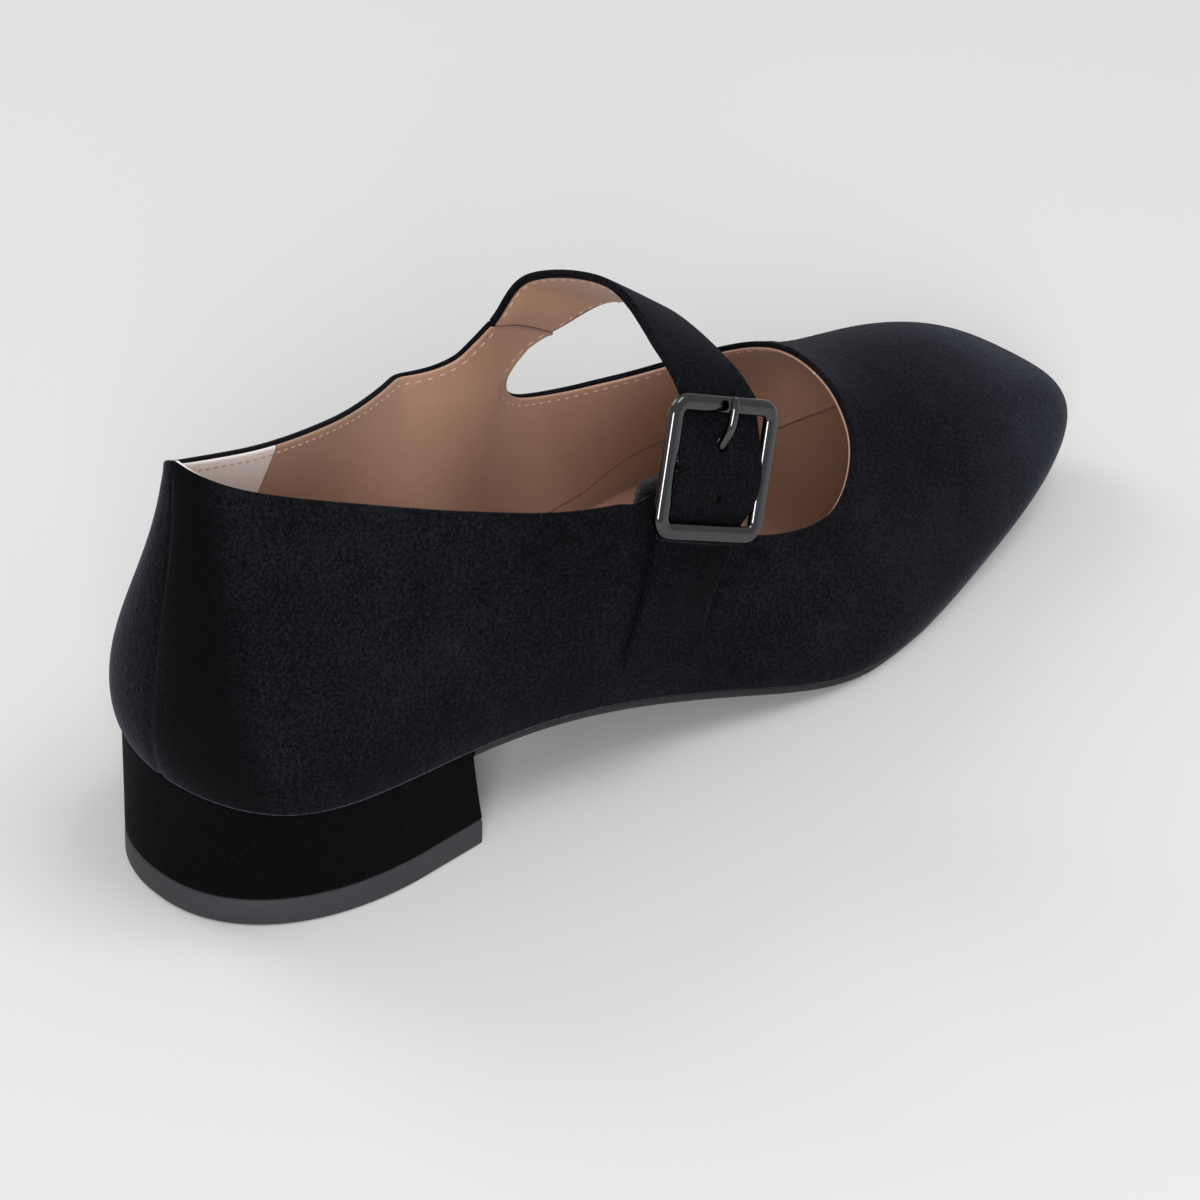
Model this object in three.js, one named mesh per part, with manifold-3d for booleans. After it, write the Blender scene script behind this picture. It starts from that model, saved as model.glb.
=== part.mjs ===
// Mary jane pump, right shoe, standing empty on its heel and forepart.
// Millimetres, +X towards the toe, +Y towards the inner (medial) side, +Z up, floor at z = 0.
import * as THREE from "three";
import { mergeVertices } from "three/addons/utils/BufferGeometryUtils.js";
import Module from "manifold-3d";

const wasm = await Module();
wasm.setup();

// ---------------------------------------------------------------- driving dimensions
const GAP = 0.3; // clearance between neighbouring pieces
const WALL = 1.8; // velvet, stiffener and lining together
const MARGIN = 7; // lasting margin turned in under the insole
const MARGIN_T = 1.6;
const INSOLE_T = 2.5;
const SOLE_T = 2.4; // outsole thickness under the forepart
const SOLE_IN = 0.7; // outsole edge set in from the upper's lower edge
const SOLE_BEVEL = 1.3;
const TOP_PIECE_T = 5.7; // rubber under the heel
const HEEL_FLOOR = { rear: -0.4, half: 28.5, breast: 55.5, round: 39, power: 2.25 };
const HEEL_SEAT_BREAST = 53.3;
const STRAP_T = 1.8;
const STRAP_W = 20;
const ELASTIC_W = 18;
const ELASTIC_T = 1.2;
const BUCKLE_W = 28.6;
const BUCKLE_H = 27.6;
const BUCKLE_BAR = 3.3;
const BUCKLE_T = 2.2;
const BUCKLE_R = 4.2;
const CENTRE_BAR_R = 1.0;
const CENTRE_BAR_N = -1.1; // centre bar sits below the frame's middle plane
const PRONG_R = 0.95;

// Sections round the last, from the back of the heel along the inner side to the toe and back along the outer side.
// fx, fy: lower edge. ao, au: lower handle outwards and up. bo, bu: upper handle outwards and up.
// rx, hw, rz: upper end, where hw is its distance from the middle line.
const SECTION = [
  { name: "heel back", fx: 1.5, fy: 0.0, ao: 8.0, au: 16.0, bo: -4.8, bu: -21.4, rx: 5, hw: 0.0, rz: 95.7 },
  { name: "inner heel round", fx: 11.2, fy: 23.3, ao: 7.0, au: 16.0, bo: 0.8, bu: -21.5, rx: 12, hw: 7.0, rz: 91.7 },
  { name: "inner seat", fx: 36.2, fy: 27.6, ao: 5.4, au: 15.6, bo: 2.8, bu: -19.9, rx: 32, hw: 12.4, rz: 85.3 },
  { name: "inner breast", fx: 60.8, fy: 26.7, ao: 5.0, au: 16.0, bo: 9.0, bu: -17.2, rx: 58, hw: 17.6, rz: 80.5 },
  { name: "inner waist", fx: 89.8, fy: 23.0, ao: 5.8, au: 16.8, bo: 25.5, bu: -7.5, rx: 84, hw: 21.0, rz: 81.9 },
  { name: "inner instep", fx: 119.8, fy: 31.3, ao: 6.7, au: 16.9, bo: 41.5, bu: 3.0, rx: 116, hw: 0.0, rz: 86.4 },
  { name: "inner ball", fx: 156.5, fy: 41.4, ao: 6.4, au: 15.5, bo: 26.2, bu: 5.7, rx: 150, hw: 0.0, rz: 61.7 },
  { name: "inner joint", fx: 194.2, fy: 36.3, ao: 6.0, au: 13.4, bo: 24.0, bu: 7.0, rx: 184, hw: 0.0, rz: 45.0 },
  { name: "inner toe", fx: 228.0, fy: 24.0, ao: 5.6, au: 11.4, bo: 20.5, bu: 4.1, rx: 212, hw: 0.0, rz: 39.2 },
  { name: "toe", fx: 246.5, fy: -2.0, ao: 5.5, au: 10.6, bo: 14.6, bu: -7.2, rx: 226, hw: 0.0, rz: 32.7 },
  { name: "outer toe", fx: 228.8, fy: -19.4, ao: 5.4, au: 10.5, bo: 12.8, bu: -5.0, rx: 212, hw: 0.0, rz: 39.2 },
  { name: "outer joint", fx: 197.6, fy: -29.0, ao: 5.6, au: 12.4, bo: 15.4, bu: -4.4, rx: 184, hw: 0.0, rz: 45.0 },
  { name: "outer ball", fx: 154.2, fy: -38.0, ao: 5.9, au: 14.8, bo: 17.0, bu: -3.9, rx: 150, hw: 0.0, rz: 61.7 },
  { name: "outer instep", fx: 122.2, fy: -33.9, ao: 5.9, au: 16.0, bo: 16.5, bu: -9.9, rx: 116, hw: 0.0, rz: 86.4 },
  { name: "outer waist", fx: 90.2, fy: -29.1, ao: 5.7, au: 16.3, bo: 15.5, bu: -14.2, rx: 84, hw: 15.0, rz: 81.9 },
  { name: "outer breast", fx: 61.4, fy: -27.2, ao: 5.0, au: 16.1, bo: 7.7, bu: -17.1, rx: 58, hw: 17.6, rz: 80.5 },
  { name: "outer seat", fx: 36.2, fy: -27.6, ao: 5.4, au: 15.6, bo: 4.6, bu: -19.6, rx: 32, hw: 12.4, rz: 85.3 },
  { name: "outer heel round", fx: 11.2, fy: -23.3, ao: 7.0, au: 16.0, bo: 1.9, bu: -21.3, rx: 12, hw: 7.0, rz: 91.7 },
];
const N_SEC = SECTION.length;
const TOE = 9;

// Height of the lower edge of the upper along the shoe: seat, arch, tread and toe spring.
const BOTTOM = [
  { x: -6, z: 26.9 }, { x: 0, z: 26.6 }, { x: 20, z: 25.0 }, { x: 40, z: 23.3 }, { x: 55, z: 22.3 }, { x: 75, z: 20.2 },
  { x: 95, z: 16.2 }, { x: 115, z: 10.8 }, { x: 135, z: 5.6 }, { x: 150, z: 3.0 }, { x: 157, z: 2.55 }, { x: 164, z: 2.4 },
  { x: 171, z: 2.55 }, { x: 180, z: 3.2 }, { x: 200, z: 5.4 }, { x: 220, z: 8.4 }, { x: 240, z: 11.5 }, { x: 256, z: 13.6 },
];

// Topline. u: place round the shoe in sections, w: share of the way up that section, base: where its column stands
// on the lower edge, n: steps to the next row.
const INNER_TOPLINE = [
  { base: 0, u: 0, w: 0.928, n: 5 }, { base: 1, u: 1, w: 0.91, n: 3 }, { base: 2, u: 2, w: 0.87, n: 3 },
  { base: 3, u: 3, w: 0.796, n: 3 }, { base: 3.95, u: 3.97, w: 0.64, n: 2 }, { base: 4.3, u: 4.354, w: 0.585, n: 2 },
  { base: 4.49, u: 4.62, w: 0.583, n: 2 }, { base: 4.6, u: 4.76, w: 0.622, n: 2 }, { base: 4.72, u: 4.84, w: 0.668, n: 0 },
];
const INNER_THROAT = [
  { base: 4.93, u: 5.36, w: 0.632, n: 2, bow: 6 }, { base: 4.965, u: 5.215, w: 0.566, n: 2, bow: 7 }, { base: 4.995, u: 5.118, w: 0.512, n: 2, bow: 7 },
  { base: 5.025, u: 5.1, w: 0.466, n: 2, bow: 5 }, { base: 5.1, u: 5.2, w: 0.44, n: 2, bow: 2 }, { base: 5.28, u: 5.42, w: 0.442, n: 2, bow: 1 },
  { base: 5.62, u: 5.7, w: 0.471, n: 3 }, { base: 6.03, u: 6.05, w: 0.54, n: 3 }, { base: 6.36, u: 6.36, w: 0.659, n: 3 },
  { base: 6.52, u: 6.52, w: 0.797, n: 3 }, { base: 6.63, u: 6.63, w: 1, n: 0 },
];
const OUTER_TOPLINE = [
  { base: 18, u: 18, w: 0.928, n: 5 }, { base: 17, u: 17, w: 0.933, n: 3 }, { base: 16, u: 16, w: 0.896, n: 3 },
  { base: 15, u: 15, w: 0.813, n: 3 }, { base: 14, u: 14, w: 0.67, n: 2 }, { base: 13.7, u: 13.7, w: 0.608, n: 2 },
  { base: 13.45, u: 13.45, w: 0.577, n: 2 }, { base: 13.2, u: 13.2, w: 0.515, n: 2 }, { base: 13, u: 13, w: 0.456, n: 3 },
  { base: 12.69, u: 12.69, w: 0.433, n: 3 }, { base: 12.25, u: 12.25, w: 0.465, n: 3 }, { base: 11.96, u: 11.96, w: 0.533, n: 3 },
  { base: 11.68, u: 11.68, w: 0.667, n: 3 }, { base: 11.495, u: 11.495, w: 0.833, n: 3 }, { base: 11.37, u: 11.37, w: 1, n: 0 },
];
const VAMP_STEPS = 12;
const OUTER_ROWS = 12;
const INNER_ROWS = 9;

// Buckle: middle of the frame, across the strap from rear to front, and down the strap.
const BUCKLE_AT = [108.9, -32.2, 64.2];
const BUCKLE_ACROSS = [0.9225, -0.1006, -0.3723];
const BUCKLE_DOWN = [-0.35, -0.245, -0.904];

// Strap between its seam and the buckle: middle of the strap and its direction from rear edge to front edge.
const STRAP_ARCH = [
  { name: "inner shoulder", x: 117.5, y: 17.35, z: 78.9, ax: 17.4, ay: -3.3, az: -8.9, w: 23 },
  { name: "top of instep", x: 117.8, y: -1.0, z: 84.15, ax: 16.0, ay: -0.3, az: -11.6, w: 21.5 },
  { name: "outer shoulder", x: 114.9, y: -18.6, z: 80.4, ax: 18.0, ay: -1.4, az: -8.6 },
];
// Free tail of the strap, from under the frame down to the outer wall.
const TAIL = [
  { name: "below the frame", x: 104.3, y: -31.7, z: 48.6, ax: 18.3, ay: -2.6, az: -7.6 },
  { name: "middle", x: 99.3, y: -32.9, z: 38.0, ax: 18.7, ay: 0.4, az: -6.6 },
  { name: "end", x: 95.4, y: -33.6, z: 27.2, ax: 19.3, ay: -1.3, az: -4.6 },
];
const SEAM_LIFT = 0.006; // strap starts this share of a section above the extension's top edge
// Elastic inside the outer wall, then over the topline to the buckle's centre bar.
const ELASTIC = [
  { name: "lower end", ru: 13.7, rw: 0.44, fu: 13.15, fw: 0.36 },
  { name: "below the topline", ru: 13.68, rw: 0.54, fu: 13.14, fw: 0.45 },
];
const ELASTIC_OVER = [
  { name: "at the topline", x: 101.9, y: -21.6, z: 56.9, ax: 18.2, ay: 1.8, az: -7.6 },
  { name: "over the topline", x: 102.9, y: -23.6, z: 60.0, ax: 18.2, ay: 1.2, az: -7.6 },
  { name: "towards the buckle", x: 104.7, y: -27.2, z: 62.0, ax: 18.2, ay: -0.6, az: -7.6 },
];

// ---------------------------------------------------------------- curves
// Periodic cubic spline through values at whole numbers.
function loopSpline(values) {
  const n = values.length;
  let m = values.map((_, i) => (values[(i + 1) % n] - values[(i + n - 1) % n]) / 2);
  for (let k = 0; k < 60; k++)
    m = m.map((_, i) => (3 * (values[(i + 1) % n] - values[(i + n - 1) % n]) - m[(i + n - 1) % n] - m[(i + 1) % n]) / 4);
  return hermiteLoop(values, m);
}
// The same without overshoot, for a value that stays at zero.
function loopMonotone(values) {
  const n = values.length;
  const d = values.map((v, i) => values[(i + 1) % n] - v);
  const m = values.map((_, i) => {
    const a = d[(i + n - 1) % n], b = d[i];
    return a * b > 0 ? (2 * a * b) / (a + b) : 0;
  });
  return hermiteLoop(values, m);
}
function hermiteLoop(values, m) {
  const n = values.length;
  return (u) => {
    const v = ((u % n) + n) % n, i = Math.floor(v) % n, j = (i + 1) % n, t = v - Math.floor(v);
    return (
      (2 * t ** 3 - 3 * t ** 2 + 1) * values[i] + (t ** 3 - 2 * t ** 2 + t) * m[i] +
      (3 * t ** 2 - 2 * t ** 3) * values[j] + (t ** 3 - t ** 2) * m[j]
    );
  };
}
// Natural cubic spline through points with rising x.
function spline(xs, ys) {
  const n = xs.length, m = new Array(n).fill(0), c = new Array(n).fill(0), d = new Array(n).fill(0);
  for (let i = 1; i < n - 1; i++) {
    const a = xs[i] - xs[i - 1], b = xs[i + 1] - xs[i];
    const r = 6 * ((ys[i + 1] - ys[i]) / b - (ys[i] - ys[i - 1]) / a);
    const p = 2 * (a + b) - a * c[i - 1];
    c[i] = b / p;
    d[i] = (r - a * d[i - 1]) / p;
  }
  for (let i = n - 2; i > 0; i--) m[i] = d[i] - c[i] * m[i + 1];
  return (x) => {
    let i = 0;
    while (i < n - 2 && x > xs[i + 1]) i++;
    const h = xs[i + 1] - xs[i], a = (xs[i + 1] - x) / h, b = (x - xs[i]) / h;
    return a * ys[i] + b * ys[i + 1] + (((a ** 3 - a) * m[i] + (b ** 3 - b) * m[i + 1]) * h * h) / 6;
  };
}
// Catmull-Rom between four values.
const between = (a, b, c, d, t) =>
  0.5 * (2 * b + (c - a) * t + (2 * a - 5 * b + 4 * c - d) * t * t + (3 * b - 3 * c + d - a) * t ** 3);

const add = (a, b, s = 1) => [a[0] + b[0] * s, a[1] + b[1] * s, a[2] + b[2] * s];
const cross = (a, b) => [a[1] * b[2] - a[2] * b[1], a[2] * b[0] - a[0] * b[2], a[0] * b[1] - a[1] * b[0]];
const dot = (a, b) => a[0] * b[0] + a[1] * b[1] + a[2] * b[2];
const unit = (a) => {
  const l = Math.hypot(...a);
  return [a[0] / l, a[1] / l, a[2] / l];
};
const mix = (a, b, t) => a.map((v, i) => v + (b[i] - v) * t);

// ---------------------------------------------------------------- the last's surface
const side = (i) => (i === 0 || i === TOE ? 0 : i < TOE ? 1 : -1);
const col = (key) => loopSpline(SECTION.map((s) => s[key]));
const C = { fx: col("fx"), fy: col("fy"), ao: col("ao"), au: col("au"), bo: col("bo"), bu: col("bu"), rx: col("rx"), rz: col("rz") };
C.ry = loopMonotone(SECTION.map((s, i) => s.hw * side(i)));
const bottom = spline(BOTTOM.map((b) => b.x), BOTTOM.map((b) => b.z));

function outward(u) {
  const e = 1e-3, dx = C.fx(u + e) - C.fx(u - e), dy = C.fy(u + e) - C.fy(u - e), l = Math.hypot(dx, dy);
  return [-dy / l, dx / l, 0];
}
const lowerEdge = (u) => [C.fx(u), C.fy(u), bottom(C.fx(u))];
function surface(u, w) {
  const f = lowerEdge(u), n = outward(u), r = [C.rx(u), C.ry(u), C.rz(u)];
  const p = add(add(f, n, C.ao(u)), [0, 0, C.au(u)]), q = add(add(r, n, C.bo(u)), [0, 0, C.bu(u)]), v = 1 - w;
  return [0, 1, 2].map((k) => v ** 3 * f[k] + 3 * v * v * w * p[k] + 3 * v * w * w * q[k] + w ** 3 * r[k]);
}
function normal(u, w) {
  const e = 2e-3, h = Math.min(w, 0.97);
  const du = add(surface(u + e, h), surface(u - e, h), -1);
  const dw = add(surface(u, h + e), surface(u, Math.max(h - e, 0)), -1);
  return unit(cross(dw, du));
}

const onUpper = (u, w, off) => add(surface(u, w), normal(u, w), off);

// ---------------------------------------------------------------- meshes
class Body {
  constructor() {
    this.v = [];
    this.f = [];
  }
  point(p) {
    this.v.push(p);
    return this.v.length - 1;
  }
  tri(a, b, c) {
    if (a !== b && b !== c && a !== c) this.f.push([a, b, c]);
  }
  quad(a, b, c, d) {
    this.tri(a, b, c);
    this.tri(a, c, d);
  }
  solid() {
    const g = new THREE.BufferGeometry();
    g.setAttribute("position", new THREE.Float32BufferAttribute(this.v.flat(), 3));
    g.setIndex(this.f.flat());
    const merged = mergeVertices(g, 1e-3);
    let tri = Array.from(merged.index.array);
    const make = () =>
      new wasm.Manifold(new wasm.Mesh({
        numProp: 3,
        vertProperties: Float32Array.from(merged.attributes.position.array),
        triVerts: Uint32Array.from(tri),
      }));
    let made = make();
    if (made.volume() < 0) {
      for (let i = 0; i < tri.length; i += 3) [tri[i + 1], tri[i + 2]] = [tri[i + 2], tri[i + 1]];
      made = make();
    }
    return made;
  }
}

// One hollow shell: outer face, inner face a wall away, folded topline, and the margin turned in underneath.
function upperSolid() {
  const body = new Body(), cols = [];
  const sample = (rows, skipFirst) => {
    rows.forEach((row, k) => {
      const a = rows[Math.max(k - 1, 0)], c = rows[Math.min(k + 1, rows.length - 1)], d = rows[Math.min(k + 2, rows.length - 1)];
      for (let s = 0; s < row.n; s++) {
        if (skipFirst && k === 0 && s === 0) continue;
        const t = s / row.n;
        cols.push({
          base: row.base + (c.base - row.base) * t,
          bow: (row.bow ?? 1) + ((c.bow ?? 1) - (row.bow ?? 1)) * t,
          u: between(k ? a.u : 2 * row.u - c.u, row.u, c.u, k + 2 < rows.length ? d.u : 2 * c.u - row.u, t),
          w: between(k ? a.w : 2 * row.w - c.w, row.w, c.w, k + 2 < rows.length ? d.w : 2 * c.w - row.w, t),
        });
      }
    });
    const end = rows[rows.length - 1];
    cols.push({ base: end.base, u: end.u, w: end.w, bow: end.bow ?? 1 });
  };
  sample(INNER_TOPLINE, false);
  const rear = INNER_TOPLINE[INNER_TOPLINE.length - 1], front = INNER_THROAT[0];
  for (let s = 1; s < 5; s++)
    cols.push({ base: rear.base + ((front.base - rear.base) * s) / 5, u: rear.u + ((front.u - rear.u) * s) / 5, w: rear.w + ((front.w - rear.w) * s) / 5, bow: 1 + ((front.bow - 1) * s) / 5 });
  sample(INNER_THROAT, false);
  const throat = INNER_THROAT[INNER_THROAT.length - 1].u, firstVamp = cols.length - 1;
  for (let s = 1; s <= VAMP_STEPS; s++) {
    const u = throat + ((TOE - throat) * s) / VAMP_STEPS;
    cols.push({ base: u, u, w: 1 });
  }
  const toe = cols.length - 1;
  for (let s = 1; s <= VAMP_STEPS; s++) {
    const u = 2 * TOE - cols[toe - s].u;
    cols.push({ base: u, u, w: 1 });
  }
  const lastVamp = cols.length - 1;
  const outer = [...OUTER_TOPLINE].reverse().map((r, i, a) => ({ ...r, n: i + 1 < a.length ? a[i + 1].n : 0 }));
  sample(outer, true);
  cols.pop(); // the last column is the first one again
  const n = cols.length, O = [], I = [], GO = [], GI = [];
  const isVamp = (j) => j >= firstVamp && j <= lastVamp;
  const twin = (j) => 2 * toe - j;
  cols.forEach((c, j) => {
    const at = (f) => {
      const w = c.w * f;
      return [c.base + (c.u - c.base) * f ** (c.bow ?? 1), w];
    };
    O[j] = [];
    I[j] = [];
    const ridgeNormal = () => {
      const a = normal(c.u, 1), b = normal(2 * TOE - c.u, 1);
      return unit(add(a, b));
    };
    for (let i = 0; i <= OUTER_ROWS; i++) {
      if (i === OUTER_ROWS && isVamp(j) && twin(j) < j) {
        O[j][i] = O[twin(j)][i];
        continue;
      }
      const [u, w] = at((i / OUTER_ROWS) ** 1.15);
      O[j][i] = body.point(surface(u, w));
    }
    const f = lowerEdge(c.base), out = outward(c.base);
    const under = (d, z) => {
      const p = add(f, out, -d);
      return body.point([p[0], p[1], bottom(p[0]) + z]);
    };
    I[j][0] = under(WALL + 0.1, MARGIN_T);
    for (let i = 1; i <= INNER_ROWS; i++) {
      if (i === INNER_ROWS && isVamp(j)) {
        I[j][i] = twin(j) < j ? I[twin(j)][i] : body.point(add(surface(c.u, 1), ridgeNormal(), -WALL));
        continue;
      }
      const [u, w] = at(0.06 + 0.94 * (i / INNER_ROWS) ** 1.1);
      I[j][i] = body.point(add(surface(u, w), normal(u, w), -WALL));
    }
    GO[j] = under(MARGIN, 0);
    GI[j] = under(MARGIN, MARGIN_T);
  });
  for (let j = 0; j < n; j++) {
    const k = (j + 1) % n;
    for (let i = 0; i < OUTER_ROWS; i++) body.quad(O[j][i], O[j][i + 1], O[k][i + 1], O[k][i]);
    for (let i = 0; i < INNER_ROWS; i++) body.quad(I[j][i], I[k][i], I[k][i + 1], I[j][i + 1]);
    if (!(isVamp(j) && isVamp(k))) body.quad(O[j][OUTER_ROWS], I[j][INNER_ROWS], I[k][INNER_ROWS], O[k][OUTER_ROWS]);
    body.quad(O[j][0], O[k][0], GO[k], GO[j]);
    body.quad(GO[j], GO[k], GI[k], GI[j]);
    body.quad(GI[j], GI[k], I[k][0], I[j][0]);
  }
  return body.solid();
}

// Outline of the lower edge set in by d, read by share t of its length and by side.
function inset(d, from, to) {
  const at = (u) => add(lowerEdge(u), outward(u), -d);
  const x0 = from ?? at(0)[0], x1 = to ?? at(TOE)[0];
  return (t, s) => {
    const x = x0 + (x1 - x0) * t;
    let lo = s > 0 ? 0 : TOE * 2, hi = TOE;
    for (let k = 0; k < 40; k++) {
      const m = (lo + hi) / 2;
      if (at(m)[0] < x) lo = m;
      else hi = m;
    }
    return [x, at((lo + hi) / 2)[1]];
  };
}
// Heel outline on the floor.
function heelOutline(grow = 0) {
  const { rear, half, breast, round, power } = HEEL_FLOOR;
  return (t, s) => {
    const x = rear - grow + (breast - rear + grow) * t, r = Math.min((x - rear + grow) / round, 1);
    const taper = x > rear + round ? 1 - 0.03 * ((x - rear - round) / (breast - rear - round)) : 1;
    return [x, s * (half + grow) * taper * (1 - (1 - r) ** power) ** (1 / power)];
  };
}
// A piece built from level outlines stacked from top to bottom, each a set of rungs across the shoe.
function plate(levels, rungs, closedRear, closedFront) {
  const body = new Body(), rings = [];
  levels.forEach((level) => {
    const a = [], b = [];
    rungs.forEach((t, k) => {
      const [x, y] = level.outline(t, 1), [x2, y2] = level.outline(t, -1);
      const single = (k === 0 && closedRear) || (k === rungs.length - 1 && closedFront);
      if (single) {
        const p = body.point([(x + x2) / 2, (y + y2) / 2, level.z(x)]);
        a.push(p);
        b.push(p);
      } else {
        a.push(body.point([x, y, level.z(x)]));
        b.push(body.point([x2, y2, level.z(x2)]));
      }
    });
    rings.push({ a, b });
  });
  const K = rungs.length;
  const cap = (r, up) => {
    for (let k = 0; k + 1 < K; k++) {
      if (up) body.quad(r.a[k], r.b[k], r.b[k + 1], r.a[k + 1]);
      else body.quad(r.a[k], r.a[k + 1], r.b[k + 1], r.b[k]);
    }
  };
  cap(rings[0], true);
  cap(rings[rings.length - 1], false);
  for (let l = 0; l + 1 < rings.length; l++) {
    const p = rings[l], q = rings[l + 1];
    for (let k = 0; k + 1 < K; k++) {
      body.quad(p.a[k], p.a[k + 1], q.a[k + 1], q.a[k]);
      body.quad(p.b[k], q.b[k], q.b[k + 1], p.b[k + 1]);
    }
    if (!closedRear) body.quad(p.a[0], q.a[0], q.b[0], p.b[0]);
    if (!closedFront) body.quad(p.a[K - 1], p.b[K - 1], q.b[K - 1], q.a[K - 1]);
  }
  return body.solid();
}
const bothRound = (n) => Array.from({ length: n + 1 }, (_, k) => (1 - Math.cos((Math.PI * k) / n)) / 2);
const frontRound = (n) => Array.from({ length: n + 1 }, (_, k) => Math.sin((Math.PI * k) / (2 * n)));
const rearRound = (n) => Array.from({ length: n + 1 }, (_, k) => 1 - Math.cos((Math.PI * k) / (2 * n)));

function insoleSolid() {
  const low = MARGIN_T + GAP, step = MARGIN + GAP + 0.1;
  return plate(
    [
      { outline: inset(3.1), z: (x) => bottom(x) + low + INSOLE_T },
      { outline: inset(2.5), z: (x) => bottom(x) + low + INSOLE_T - 0.6 },
      { outline: inset(2.5), z: (x) => bottom(x) + low },
      { outline: inset(step), z: (x) => bottom(x) + low },
      { outline: inset(step), z: (x) => bottom(x) + GAP },
    ],
    bothRound(44), true, true,
  );
}
function outsoleSolid() {
  const x0 = HEEL_SEAT_BREAST + 1.0, floor = (x) => Math.max(0, bottom(x) - GAP - SOLE_T);
  return plate(
    [
      { outline: inset(SOLE_IN, x0), z: (x) => bottom(x) - GAP },
      { outline: inset(SOLE_IN - 0.1, x0), z: (x) => floor(x) + SOLE_T * 0.55 },
      { outline: inset(SOLE_IN + SOLE_BEVEL, x0), z: floor },
    ],
    frontRound(40), false, true,
  );
}
// The heel's sides run from the lower edge of the upper down to the D shaped outline on the top piece.
function heelSolid() {
  const seat = inset(0.15, undefined, HEEL_SEAT_BREAST), floor = heelOutline();
  const z1 = TOP_PIECE_T + GAP;
  const level = (h) => ({
    outline: (t, s) => {
      const a = seat(t, s), b = floor(t, s), k = h + 0.25 * h * (1 - h);
      return [b[0] + (a[0] - b[0]) * k, b[1] + (a[1] - b[1]) * k];
    },
    z: (x) => z1 + (bottom(Math.max(x, 1)) - GAP - z1) * h,
  });
  return plate([1, 0.75, 0.5, 0.25, 0].map(level), rearRound(22), true, false);
}
function topPieceSolid() {
  return plate(
    [
      { outline: heelOutline(), z: () => TOP_PIECE_T },
      { outline: heelOutline(0.1), z: () => 0.6 },
      { outline: heelOutline(-0.4), z: () => 0 },
    ],
    rearRound(22), true, false,
  );
}

// A band through sections. Each section is either free, { c: middle, a: rear to front, w: width }, or lies on the
// upper between two places, { rear: [u, w], front: [u, w], off }. n: steps to the next section.
const ACROSS = [-1, -0.93, -0.5, 0, 0.5, 0.93, 1];
function band(sections, thickness) {
  const line = (s, x) =>
    s.c ? add(s.c, unit(s.a), (x * s.w) / 2) : onUpper(...mix(s.rear, s.front, (1 + x) / 2), s.off);
  const K = sections.map((s) => ACROSS.map((x) => line(s, x))), grid = [], last = K.length - 1;
  const at = (i, j, q) => K[i][j][q];
  for (let i = 0; i < last; i++)
    for (let s = 0; s < sections[i].n; s++)
      grid.push(ACROSS.map((_, j) => [0, 1, 2].map((q) => between(
        i ? at(i - 1, j, q) : 2 * at(0, j, q) - at(1, j, q), at(i, j, q), at(i + 1, j, q),
        i + 1 < last ? at(i + 2, j, q) : 2 * at(last, j, q) - at(last - 1, j, q), s / sections[i].n))));
  grid.push(K[last]);
  const body = new Body(), h = thickness / 2, half = [0.35 * h, h, h, h, h, h, 0.35 * h], W = ACROSS.length;
  const rings = grid.map((row, i) => {
    const o = grid[Math.max(i - 1, 0)], q = grid[Math.min(i + 1, grid.length - 1)];
    const m = row.map((_, j) =>
      unit(cross(add(row[Math.min(j + 1, W - 1)], row[Math.max(j - 1, 0)], -1), add(q[j], o[j], -1))));
    return [
      ...row.map((p, j) => body.point(add(p, m[j], -half[j]))),
      ...row.map((p, j) => body.point(add(p, m[j], half[j]))).reverse(),
    ];
  });
  const k = 2 * W;
  for (let i = 0; i + 1 < rings.length; i++)
    for (let j = 0; j < k; j++) body.quad(rings[i][j], rings[i + 1][j], rings[i + 1][(j + 1) % k], rings[i][(j + 1) % k]);
  const a = rings[0], z = rings[rings.length - 1];
  for (let j = 0; j + 1 < W; j++) {
    body.quad(a[j], a[j + 1], a[k - 2 - j], a[k - 1 - j]);
    body.quad(z[j], z[k - 1 - j], z[k - 2 - j], z[j + 1]);
  }
  return body.solid();
}

// A round rod along points, with a radius at each.
function rod(points, radii, sides) {
  const body = new Body(), ring = [];
  points.forEach((c, i) => {
    const t = unit(add(points[Math.min(i + 1, points.length - 1)], points[Math.max(i - 1, 0)], -1));
    const a = unit(cross(t, B.across)), b = cross(t, a);
    ring.push(Array.from({ length: sides }, (_, j) => {
      const g = (2 * Math.PI * j) / sides;
      return body.point(add(add(c, a, radii[i] * Math.cos(g)), b, radii[i] * Math.sin(g)));
    }));
  });
  for (let i = 0; i + 1 < ring.length; i++)
    for (let j = 0; j < sides; j++) body.quad(ring[i][j], ring[i + 1][j], ring[i + 1][(j + 1) % sides], ring[i][(j + 1) % sides]);
  const r0 = ring[0], r1 = ring[ring.length - 1];
  for (let j = 1; j + 1 < sides; j++) {
    body.tri(r0[0], r0[j], r0[j + 1]);
    body.tri(r1[0], r1[j + 1], r1[j]);
  }
  return body.solid();
}

// ---------------------------------------------------------------- buckle, strap and elastic
const B = (() => {
  const across = unit(BUCKLE_ACROSS), d = BUCKLE_DOWN, down = unit(add(d, across, -dot(d, across)));
  const out = unit(cross(down, across));
  return { across, down, out };
})();
// A place in the buckle's own frame: a across, v up the strap, n out of it.
const atBuckle = (a, v, n) => add(add(add(BUCKLE_AT, B.across, a), B.down, -v), B.out, n);

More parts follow.
